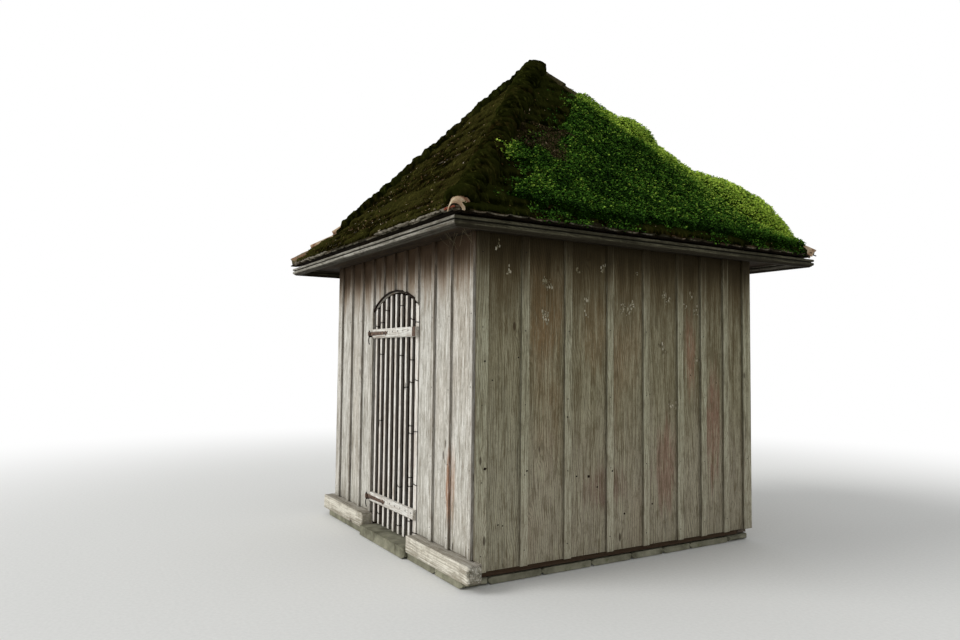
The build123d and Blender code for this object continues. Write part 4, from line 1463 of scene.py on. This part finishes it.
def withered_leaves():
    """Shrivelled brown leaves over the dead parts."""
    slope, rng, along, up = scatter("right", 60000, 705, lambda a, u: 0.45 * withered(a, u))
    green = np.clip(carpet_mask("right", along, up), 0, 1) > 0.3
    low = margin_points(along, up, 0.003)
    high = carpet_place("right", along, up, np.full(len(up), 0.004))[0]
    places = np.where(green[:, None], high, low)
    return sprout(
        "withered_leaves", withered_leaf, places, slope.directions(up), rng, (0.010, 0.020), 0.5,
        (0.36, 0.22), 0.6,
    )


def stray_leaves():
    """Thin growth round the carpet on the right slope: the same leaves, few and darker."""
    def outside(along, up):
        return 1 - ease(carpet_mask("right", along, up), 0.2, 0.5)

    slope, rng, along, up = scatter("right", 15000, 704, outside)
    near = 1 - ease(np.interp(up, *zip(*CARPET_SIDE)) - along, 0.00, 0.22)
    patch = layered(slope.point(along, up), 6.0, 67, 3)
    chosen = rng.random(len(up)) < near * ease(patch, 0.46, 0.66) + 0.008
    along, up = along[chosen], up[chosen]
    return sprout(
        "stray_leaves", green_leaf, margin_points(along, up, 0.002), slope.directions(up), rng,
        (0.012, 0.024), 0.66, (0.34, 0.18), 0.5,
    )


def litter(name, count, seed):
    """Dead leaves and pale flecks that lie on a slope."""
    slope, rng, along, up = scatter(name, count, seed, lambda a, u: 0.9 * ease(u, 0.02, 0.08))
    origins = slope.point(along, up, tile_surface(up) + 0.020)
    return sprout(
        f"litter_{name}", dry_leaf, origins, slope.directions(up), rng, (0.010, 0.024), 0.5,
        (0.50, 0.28), 0.15, 0.35,
    )


def shoots(name, count, seed):
    """Short upright shoots that make the moss rough at its edges."""
    slope, rng, along, up = scatter(name, count, seed, lambda a, u: np.full(len(u), 0.9))
    depth = course_moss(0.90, 0.031)(along, up, slope.point(along, up))
    chosen = depth > 0.005
    along, up, depth = along[chosen], up[chosen], depth[chosen]
    origins = slope.point(along, up, tile_surface(up) + depth - 0.007)
    return sprout(
        f"moss_shoots_{name}", shoot_leaf, origins, slope.directions(up), rng, (0.006, 0.014), 0.4,
        (0.24, 0.24), 1.0,
    )


withered_leaves()
stray_leaves()
for name, count, seed in (("front", 700, 711), ("right", 300, 712), ("back", 600, 713), ("left", 600, 714)):
    litter(name, count, seed)
for offset, name in enumerate(("front", "back", "left")):
    shoots(name, 9000, 721 + offset)


def hip_runs():
    """The two straight stretches of a hip, below and above the kick: their start, direction and
    length, in distance out from the middle of the roof and height."""
    slope = SLOPES["right"]
    corner = math.hypot(HIGH[0], HIGH[1])
    foot = np.array([corner, slope.edge_height])
    kick = np.array([corner * slope.kick[0] / slope.half_span, slope.kick[1]])
    peak = np.array([0.0, slope.peak])
    for start, end in ((foot, kick), (kick, peak)):
        length = float(np.linalg.norm(end - start))
        yield start, (end - start) / length, length


def hip_points(hip, run, climb, side, lift):
    """World points at distances up a stretch of a hip, aside from its line and off it."""
    start, way, _ = run
    heading = np.array([hip[0] * HIGH[0], hip[1] * HIGH[1]]) / math.hypot(HIGH[0], HIGH[1])
    at = start + way * np.asarray(climb, float)[..., None]
    out = at[..., 0] + way[1] * lift
    height = at[..., 1] - way[0] * lift
    x = heading[0] * out - heading[1] * side
    y = heading[1] * out + heading[0] * side
    return np.stack([x, y, height], -1)


def half_round(shape, point, rise, shell, squash, sink, swell, seed, age):
    """One hollow half-round tile, wider at its lower end and lifted there by rise. point gives its
    points from the part of the way up it, the distance aside and the height."""
    cuts = HIP_TILE_CUTS
    angles = np.linspace(math.radians(-14), math.radians(194), cuts)
    middle = (HIP_TILE_WIDE + HIP_TILE_NARROW) / 2
    rings = []
    for part, radius in ((0.0, HIP_TILE_WIDE), (0.5, middle), (1.0, HIP_TILE_NARROW)):
        for inner in (0.0, shell):
            reach = radius + swell - inner
            height = np.sin(angles) * reach * squash - sink + rise * (1 - part)
            rings.append(point(part, np.cos(angles) * reach, height))
    order = [rings[index] for index in (0, 2, 4, 5, 3, 1)]
    faces = []
    for ring in range(len(order)):
        following = (ring + 1) % len(order)
        for index in range(cuts - 1):
            a, b = ring * cuts + index, following * cuts + index
            faces.append((a, a + 1, b + 1, b))
    for index in (0, cuts - 1):
        for side in ((0, 1, 4, 5), (1, 2, 3, 4)):
            quad = [ring * cuts + index for ring in side]
            faces.append(tuple(quad if index else quad[::-1]))
    points = np.concatenate(order)
    points = points + (layered(points, 14.0, seed, 2)[:, None] - 0.5) * 0.005
    shape.add(points, faces, age)


def hip_tiles():
    """Hollow half-round tiles up each hip, each lapping the next one's wider end."""
    shape = Shape()
    for quarter, hip in enumerate(HIPS):
        for above, run in enumerate(hip_runs()):
            first = 0.0 if above else HIP_SETBACK
            last = run[2] - APEX_CLEAR * above
            count = max(1, round((last - first) / HIP_TILE_LENGTH))
            pitch = (last - first) / count
            for index in range(count):
                seed = 800 + quarter * 40 + above * 12 + index
                start = first + index * pitch
                lowest = not above and index == 0
                raised = quarter == FRONT_LEFT and (not above or index == 0)
                age = 0.45 + 0.5 * tone_of(seed + 3)
                if raised:
                    age = RAISED_AGES[min(index + 3 * above, 3)]
                elif lowest:
                    age = 0.05

                def point(part, side, lift):
                    return hip_points(hip, run, start + part * (pitch + HIP_TILE_LAP), side, lift)

                form = NEAR_TILE if lowest and quarter == 0 else HIP_TILE_FORM
                rise = 0.008 + 0.004 * tone_of(seed) + HIP_RAISE * raised
                half_round(shape, point, rise, *form, seed, age)
    return shape.build("hip_tile_rows", ridge_clay, "hip_clay", replaces=["hip_tiles"], angle=50)


def hip_moss():
    """Moss banked against the hip tiles and over the higher ones, on all hips but the far one."""
    shape = Shape()
    for number, hip in enumerate((HIPS[0], *HIPS[2:])):
        for above, run in enumerate(hip_runs()):
            stations = np.arange(-0.01 if above else 0.05, run[2] + 0.01, HIP_MOSS_STEP)
            angles = np.radians(np.linspace(-22, 202, 19))
            along, turn = np.meshgrid(stations, angles, indexing="ij")
            places = hip_points(hip, run, along, np.cos(turn) * 0.09, 0.0)
            patch = layered(places, 4.0, 650 + number, 3)
            clump = layered(places, 21.0, 660 + number, 2)
            cover = ease(patch + 0.5 * (number == 0 or above == 1), 0.34, 0.48)
            cover = cover * ease(along + above + 0.1 * (clump - 0.5), *HIP_MOSS_START[number])
            radius = HIP_MOSS_RADIUS + HIP_MOSS_THICK * cover * (0.35 + 1.2 * clump) + 0.006 * clump
            side = np.cos(turn) * radius * (1.12 + 0.25 * clump)
            points = hip_points(hip, run, along, side, np.sin(turn) * radius - HIP_SINK)
            shape.join(sheet(points, cover > 0.25, ease(patch, 0.5, 0.8), ease(clump, 0.3, 0.8)))
    return shape.build("hip_moss", margin_moss, "hip_clay", angle=0)


def apex_lump():
    """The dark mossy lump on the peak, in place of a clean cap."""
    low, high = box("apex_cap")
    middle = (low + high) / 2
    reach = (high[0] - low[0]) / 2
    around = 28
    heights, angles = np.linspace(0, 1, 12), np.linspace(0, 2 * math.pi, around + 1)
    share, turn = np.meshgrid(heights, angles, indexing="ij")
    radius = reach * (1 - 0.68 * share ** 1.5) * np.where(share > 0.97, 0.35, 1)
    points = np.stack([
        middle[0] + radius * np.cos(turn), middle[1] + radius * np.sin(turn),
        low[2] + (high[2] - low[2]) * share,
    ], -1)
    lumps = layered(points * (1, 1, 0.999), 14.0, 671, 3)[..., None]
    centre = np.stack([middle[0] + 0 * share, middle[1] + 0 * share, points[..., 2]], -1)
    points = centre + (points - centre) * (0.72 + 0.40 * lumps)
    points[..., 2] -= 0.02 * lumps[..., 0]
    points[:, -1] = points[:, 0]
    shape = sheet(points, np.ones(share.shape, bool), 0.3 + 0 * share, lumps[..., 0])
    # The crown closes the last ring of points, which lies just before it in the mesh
    crown = (middle[0], middle[1], high[2] - 0.012)
    shape.add([crown], [(i - around - 1, i - around, 0) for i in range(around)], 0.3, 0.6)
    return shape.build("apex_lump", margin_moss, "hip_clay", replaces=["apex_cap"], angle=0)


def tile_beds():
    """Dark lumps of mortar that close the open ends of the lowest hip tiles."""
    shape = Shape()
    inset, rise, size = 0.055, 0.016, (0.050, 0.050, 0.022)
    for quarter, hip in enumerate(HIPS):
        x, y = hip[0] * (HIGH[0] - inset), hip[1] * (HIGH[1] - inset)
        ball(shape, (x, y, SLOPES["right"].edge_height + rise), size, 760 + quarter, 0.2, 8, 14)
    return shape.build("tile_beds", bed_mortar, "hip_clay", angle=30)


def eave_crust():
    """Grey crust of lichen and dust on the ends of the lowest front tiles."""
    shape = Shape()
    rng = np.random.default_rng(771)
    slope = SLOPES["front"]
    lift = float(tile_surface(np.array([0.02]))[0]) + 0.001
    for along in np.arange(-slope.half_eave + 0.05, slope.half_eave - 0.10, 0.021):
        strength = float(layered(np.array([[along * 2.2, 0.3, 0.7]]), 1.0, 772, 2)[0])
        if strength + 0.22 * (along > 0.5) < 0.50:
            continue
        place = slope.point(along + rng.normal(0, 0.006), rng.uniform(0.012, 0.055), lift)
        size = (rng.uniform(0.018, 0.040), rng.uniform(0.012, 0.028), rng.uniform(0.005, 0.010))
        ball(shape, place, size, int(rng.integers(1, 900)), rng.random(), 5, 9)
    return shape.build("eave_crust", lichen_crust, "roof_tile", angle=30)


def broken_tile():
    """Red chips of a broken tile beside the first tile of the near hip."""
    shape = Shape()
    rng = np.random.default_rng(741)
    slope = SLOPES["front"]
    for index in range(16):
        along = slope.half_eave - rng.uniform(0.00, 0.13)
        place = slope.point(along, rng.uniform(0.000, 0.025), 0.002)
        size = rng.uniform(0.006, 0.015, 3) * (1, 1, 0.6)
        ball(shape, place, size, 741 + index, rng.random(), 4, 6)
    return shape.build("broken_tile", red_clay, "hip_clay", angle=20)


hip_tiles()
hip_moss()
apex_lump()
tile_beds()
eave_crust()
broken_tile()


# Small things


def strip_nails():
    """Nail heads down every cover strip."""
    shape = Shape()
    seed = 0
    for side, (along, across, sign) in SIDES.items():
        for low, high in STRIPS[side]:
            face = high[across] if sign > 0 else low[across]
            for height in np.arange(low[2] + 0.10, high[2] - 0.05, NAIL_PITCH):
                seed += 1
                place = np.zeros(3)
                place[along] = (low[along] + high[along]) / 2 + 0.010 * (tone_of(seed) - 0.5)
                place[across] = face - sign * 0.0035
                place[2] = height + 0.05 * (tone_of(seed + 500) - 0.5)
                size = np.full(3, NAIL_RADIUS)
                size[across] = NAIL_HALF
                ball(shape, place, size, seed, 0.5, 4, 7)
    return shape.build("strip_nails", dark_iron, "iron")


def rail_nails():
    """Nail heads along both gate rails."""
    shape = Shape()
    for low, high in solids("gate_rails"):
        for index, (slat_low, slat_high) in enumerate(slats):
            middle = (slat_low[0] + slat_high[0]) / 2
            place = (middle, low[1] - 0.0002, (low[2] + high[2]) / 2 + 0.012)
            ball(shape, place, RAIL_NAIL, 900 + index, 0.5, 4, 7)
    return shape.build("rail_nails", dark_iron, "iron", body="gate")


# Wire ties round the slats: slat number from the hinge side, and heights over the sill
TIES = {
    1: (1.74,),
    2: (1.77, 1.476, 0.864, 0.014),
    3: (1.88,),
    6: (1.906, 1.466, 0.326, -0.01),
    7: (1.19,),
    8: (1.78, 1.43, 1.24, 0.87, 0.806, 0.434, 0.36, 0.07),
    9: (1.75, 1.26, 0.83, 0.39, -0.006),
}


def wire(shape, path, radius, around=5):
    """A round wire along points."""
    path = np.asarray(path, float)
    way = unit(np.gradient(path, axis=0))[:, None, :]
    first = unit(np.cross(way, (0.13, 0.21, 1.0)))
    second = np.cross(way, first)
    angles = np.linspace(0, 2 * math.pi, around, endpoint=False)[None, :, None]
    points = path[:, None, :] + (np.cos(angles) * first + np.sin(angles) * second) * radius
    shape.add(points.reshape(-1, 3), tube_faces(len(path), around))


def wire_ties():
    """Loops of rusty wire with a twisted end, tied round single slats."""
    shape = Shape()
    for number, heights in TIES.items():
        low, high = slats[number - 1]
        middle = (low + high) / 2
        half_x, half_y = (high[:2] - low[:2]) / 2 + WIRE_CLEAR
        outline = rounded_outline(half_x, half_y, 0.004, 2, 2)
        for index, height in enumerate(heights):
            seed = number * 17 + index
            slant = 0.010 * (tone_of(seed) - 0.5)
            path = [
                (middle[0] + u, middle[1] + v, sill_top + height + slant * u / half_x)
                for u, v in outline
            ]
            end = np.array(path[-1]) + (0, 0, 0.002)
            tip = end + (0.014, -0.008, 0.007 * (tone_of(seed + 9) - 0.3))
            wire(shape, [*path, end, end + (0.006, -0.006, 0.003), tip], WIRE_RADIUS)
    return shape.build("wire_ties", dark_iron, "iron", body="gate")


def arch_twig():
    """A bent dark twig that edges the door head and sticks out past the left jamb."""
    face = box("front_wall_over")[0][1]
    x = np.linspace(over_low[0] - 0.036, over_high[0] - 0.010, 60)
    wander = (layered(np.stack([x, 0 * x, 0 * x], -1), 9.0, 931, 2) - 0.5) * 0.008
    z = arch_height(x) + TWIG_RADIUS + 0.004 + wander
    z -= 0.028 * (1 - ease(x, over_low[0] - 0.04, over_low[0] + 0.06))
    path = np.stack([x, np.full(len(x), face - TWIG_RADIUS * 0.9), z], -1)
    shape = Shape()
    wire(shape, path, TWIG_RADIUS, 9)
    points = shape.points[0]
    shape.points[0] = points + (layered(points, 60.0, 933, 2)[:, None] - 0.5) * 0.004
    return shape.build("arch_twig", bark, "frame_timber")


# White tufts on the right wall: place along the wall, height and a quarter of their number
TUFTS = (
    (-0.88, 2.25, 5), (-0.83, 2.22, 4), (-0.87, 2.01, 4), (-0.85, 1.97, 3), (-0.54, 2.37, 2),
    (-0.29, 2.40, 3), (-0.46, 2.12, 4), (-0.47, 2.01, 2), (-0.07, 2.09, 5), (0.04, 2.10, 6),
    (-0.02, 2.05, 4), (0.40, 2.21, 5), (0.45, 2.17, 4), (0.73, 2.22, 4), (0.67, 2.11, 2),
    (0.79, 2.10, 3), (0.37, 1.77, 3), (0.40, 1.72, 2), (0.79, 1.66, 2), (0.47, 1.24, 3),
    (0.55, 1.22, 3), (1.14, 2.13, 2), (-1.20, 2.31, 2), (-1.30, 2.51, 2), (0.09, 2.38, 1),
)


def tufts():
    """Pale cocoon-like tufts and bits of web on the right wall."""
    shape = Shape()
    rng = np.random.default_rng(1001)
    face = box("right_wall")[1][0]
    for along, height, count in TUFTS:
        for _ in range(count * 4):
            place = (face - 0.0005, along + rng.normal(0, 0.014), height + rng.normal(0, 0.020))
            size = (0.0034, rng.uniform(0.003, 0.009), rng.uniform(0.004, 0.016))
            ball(shape, place, size, int(rng.integers(1, 900)), rng.random(), 4, 6)
    return shape.build("wall_tufts", web, "side_boards")


def cobwebs():
    """Slack threads between the wall and the eaves boards near the corner."""
    shape = Shape()
    rng = np.random.default_rng(1011)
    wall = box("front_battens")[0][1]
    low, high = SOFFIT_FOOT - 0.145, SOFFIT_FOOT - 0.015
    for _ in range(12):
        start = np.array([rng.uniform(0.9, 1.40), wall - 0.001, rng.uniform(low, high)])
        far = min(start[0] + rng.normal(0.05, 0.07), 1.60)
        end = np.array([far, wall - rng.uniform(0.03, 0.14), SOFFIT_FOOT - 0.001])
        part = np.linspace(0, 1, 7)[:, None]
        path = start + (end - start) * part
        path[:, 2] -= 4 * part[:, 0] * (1 - part[:, 0]) * rng.uniform(0.0, 0.03)
        wire(shape, path, rng.uniform(0.0005, 0.0010), 4)
    return shape.build("cobwebs", web, "front_boards", angle=0)


# Knots on the right wall: place along the wall, height and half width
KNOTS = (
    (-1.42, 1.63, 0.008), (-1.34, 1.49, 0.007), (-1.11, 1.66, 0.007), (-0.61, 1.82, 0.009),
    (0.23, 1.36, 0.008), (-0.43, 0.72, 0.016), (-0.05, 0.39, 0.010), (-0.34, 0.63, 0.009),
    (-0.55, 0.73, 0.008), (-1.28, 0.43, 0.008), (-1.24, 0.42, 0.007), (-1.41, 0.85, 0.013),
    (-1.04, 0.81, 0.008), (-0.20, 0.75, 0.009), (0.26, 0.44, 0.009), (0.62, 0.98, 0.008),
    (-0.66, 1.20, 0.007), (1.05, 1.45, 0.007), (0.72, 1.52, 0.007),
)


def knots():
    """Dark knots in the boards of the right wall."""
    shape = Shape()
    face = box("right_wall")[1][0]
    for index, (along, height, size) in enumerate(KNOTS):
        over = [high[0] for low, high in STRIPS["right"] if low[1] < along < high[1]]
        out = max(over, default=face)
        place = (out - 0.0022, along, height)
        ball(shape, place, (0.0026, size, size * 0.8), 950 + index, 0.5, 6, 12)
    return shape.build("wall_knots", bark, "side_boards")


strip_nails()
rail_nails()
wire_ties()
arch_twig()
tufts()
knots()
cobwebs()


# Finishes of the CAD pieces that stay


def dress(material, *nodes):
    """Gives CAD pieces their finish."""
    for node in nodes:
        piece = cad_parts[node]
        piece.data.materials.clear()
        piece.data.materials.append(material)


dress(timber_wood, "corner_posts", "door_posts", "king_post", "hip_rafters")
dress(cross_timber_wood, "door_header", "plates_front_back", "plates_side")
dress(shaded_soffit_front_wood, "soffits_front_back")
dress(shaded_soffit_side_wood, "soffits_side")
dress(eave_front_wood, "cornice_front", "cornice_back")
dress(shaded_eave_side_wood, "cornice_right", "cornice_left")
dress(iron, "strap_hinges", "lock_plate")
dress(dark_iron, "pintles")
dress(rail_wood, "gate_rails")
dress(floor_stone, "floor_slab")


# Camera, floor and light

CAMERA_PLACE = (5.944, -4.161, 1.658)
CAMERA_YAW, CAMERA_PITCH, CAMERA_ROLL = (math.radians(a) for a in (59.13, 2.96, 0.63))
LENS = 27.06
FLOOR_REACH = 60.0


def place_by(thing, *columns):
    """Sets an object's axes and, if a fourth column is given, its place."""
    matrix = Matrix.Identity(4)
    for column, vector in enumerate(columns):
        for row in range(3):
            matrix[row][column] = vector[row]
    thing.matrix_world = matrix


def make_camera():
    """A camera where the photograph was taken from."""
    forward = np.array([
        -math.sin(CAMERA_YAW) * math.cos(CAMERA_PITCH),
        math.cos(CAMERA_YAW) * math.cos(CAMERA_PITCH),
        math.sin(CAMERA_PITCH),
    ])
    level = np.array([math.cos(CAMERA_YAW), math.sin(CAMERA_YAW), 0.0])
    upward = np.cross(level, forward)
    right = math.cos(CAMERA_ROLL) * level + math.sin(CAMERA_ROLL) * upward
    top = -math.sin(CAMERA_ROLL) * level + math.cos(CAMERA_ROLL) * upward
    data = bpy.data.cameras.new("camera")
    data.lens = LENS
    data.sensor_width = 36.0
    data.clip_end = 200.0
    camera = add_object("camera", data)
    place_by(camera, right, top, -forward, CAMERA_PLACE)
    bpy.context.scene.camera = camera


def only_seen(tree):
    """1 for rays from the eye and for reflections of them, else 0."""
    path = tree.nodes.new("ShaderNodeLightPath")
    total = path.outputs["Is Camera Ray"]
    for title in ("Is Glossy Ray", "Is Transmission Ray"):
        add = tree.nodes.new("ShaderNodeMath")
        add.operation = "MAXIMUM"
        tree.links.new(total, add.inputs[0])
        tree.links.new(path.outputs[title], add.inputs[1])
        total = add.outputs[0]
    return total


def make_world(strength):
    """Soft light from all round, shown as white."""
    world = bpy.data.worlds.new("studio")
    bpy.context.scene.world = world
    world.use_nodes = True
    tree = world.node_tree
    tree.nodes.clear()
    soft, white = (tree.nodes.new("ShaderNodeBackground") for _ in range(2))
    soft.inputs[0].default_value = (0.98, 0.99, 1.0, 1.0)
    soft.inputs[1].default_value = strength
    white.inputs[0].default_value = (1.0, 1.0, 1.0, 1.0)
    white.inputs[1].default_value = 1.0
    mix = tree.nodes.new("ShaderNodeMixShader")
    tree.links.new(only_seen(tree), mix.inputs[0])
    tree.links.new(soft.outputs[0], mix.inputs[1])
    tree.links.new(white.outputs[0], mix.inputs[2])
    output = tree.nodes.new("ShaderNodeOutputWorld")
    tree.links.new(mix.outputs[0], output.inputs[0])


def make_floor():
    """A pale floor that fades into the white background away from the chapel."""
    make = Finish("studio_floor", 0.95)
    distance = make.node("ShaderNodeVectorMath", {0: make.place}, 1, operation="LENGTH")
    grain = make.noise(make.place, 40.0, 2.0)
    colour = make.ramp(grain, (0.3, (226, 226, 223)), (0.7, (232, 232, 229)))
    make.finish(colour)
    tree = make.tree
    glow = tree.nodes.new("ShaderNodeEmission")
    far = make.step(distance, 4.0, 11.0)
    factor = make.times(far, only_seen(tree))
    mix = tree.nodes.new("ShaderNodeMixShader")
    tree.links.new(factor, mix.inputs[0])
    tree.links.new(make.shader.outputs[0], mix.inputs[1])
    tree.links.new(glow.outputs[0], mix.inputs[2])
    output = next(node for node in tree.nodes if node.type == "OUTPUT_MATERIAL")
    tree.links.new(mix.outputs[0], output.inputs["Surface"])
    mesh = bpy.data.meshes.new("studio_floor")
    corners = [(x * FLOOR_REACH, y * FLOOR_REACH, 0) for x, y in ((-1, -1), (1, -1), (1, 1), (-1, 1))]
    mesh.from_pydata(corners, [], [(0, 1, 2, 3)])
    mesh.materials.append(make.material)
    floor = add_object("studio_floor", mesh)


def make_sun(name, direction, energy, angle):
    """A wide soft lamp that shines along a direction."""
    data = bpy.data.lights.new(name, "SUN")
    data.energy = energy
    data.angle = math.radians(angle)
    back = unit(-np.array(direction, float))
    side = unit(np.cross((0.0, 0.0, 1.0), back))
    place_by(add_object(name, data), side, np.cross(back, side), back)


make_camera()
make_world(0.62)
make_floor()
make_sun("front_light", (0.35, 1.0, -0.62), 1.7, 30.0)
bpy.context.scene.view_settings.view_transform = "Standard"
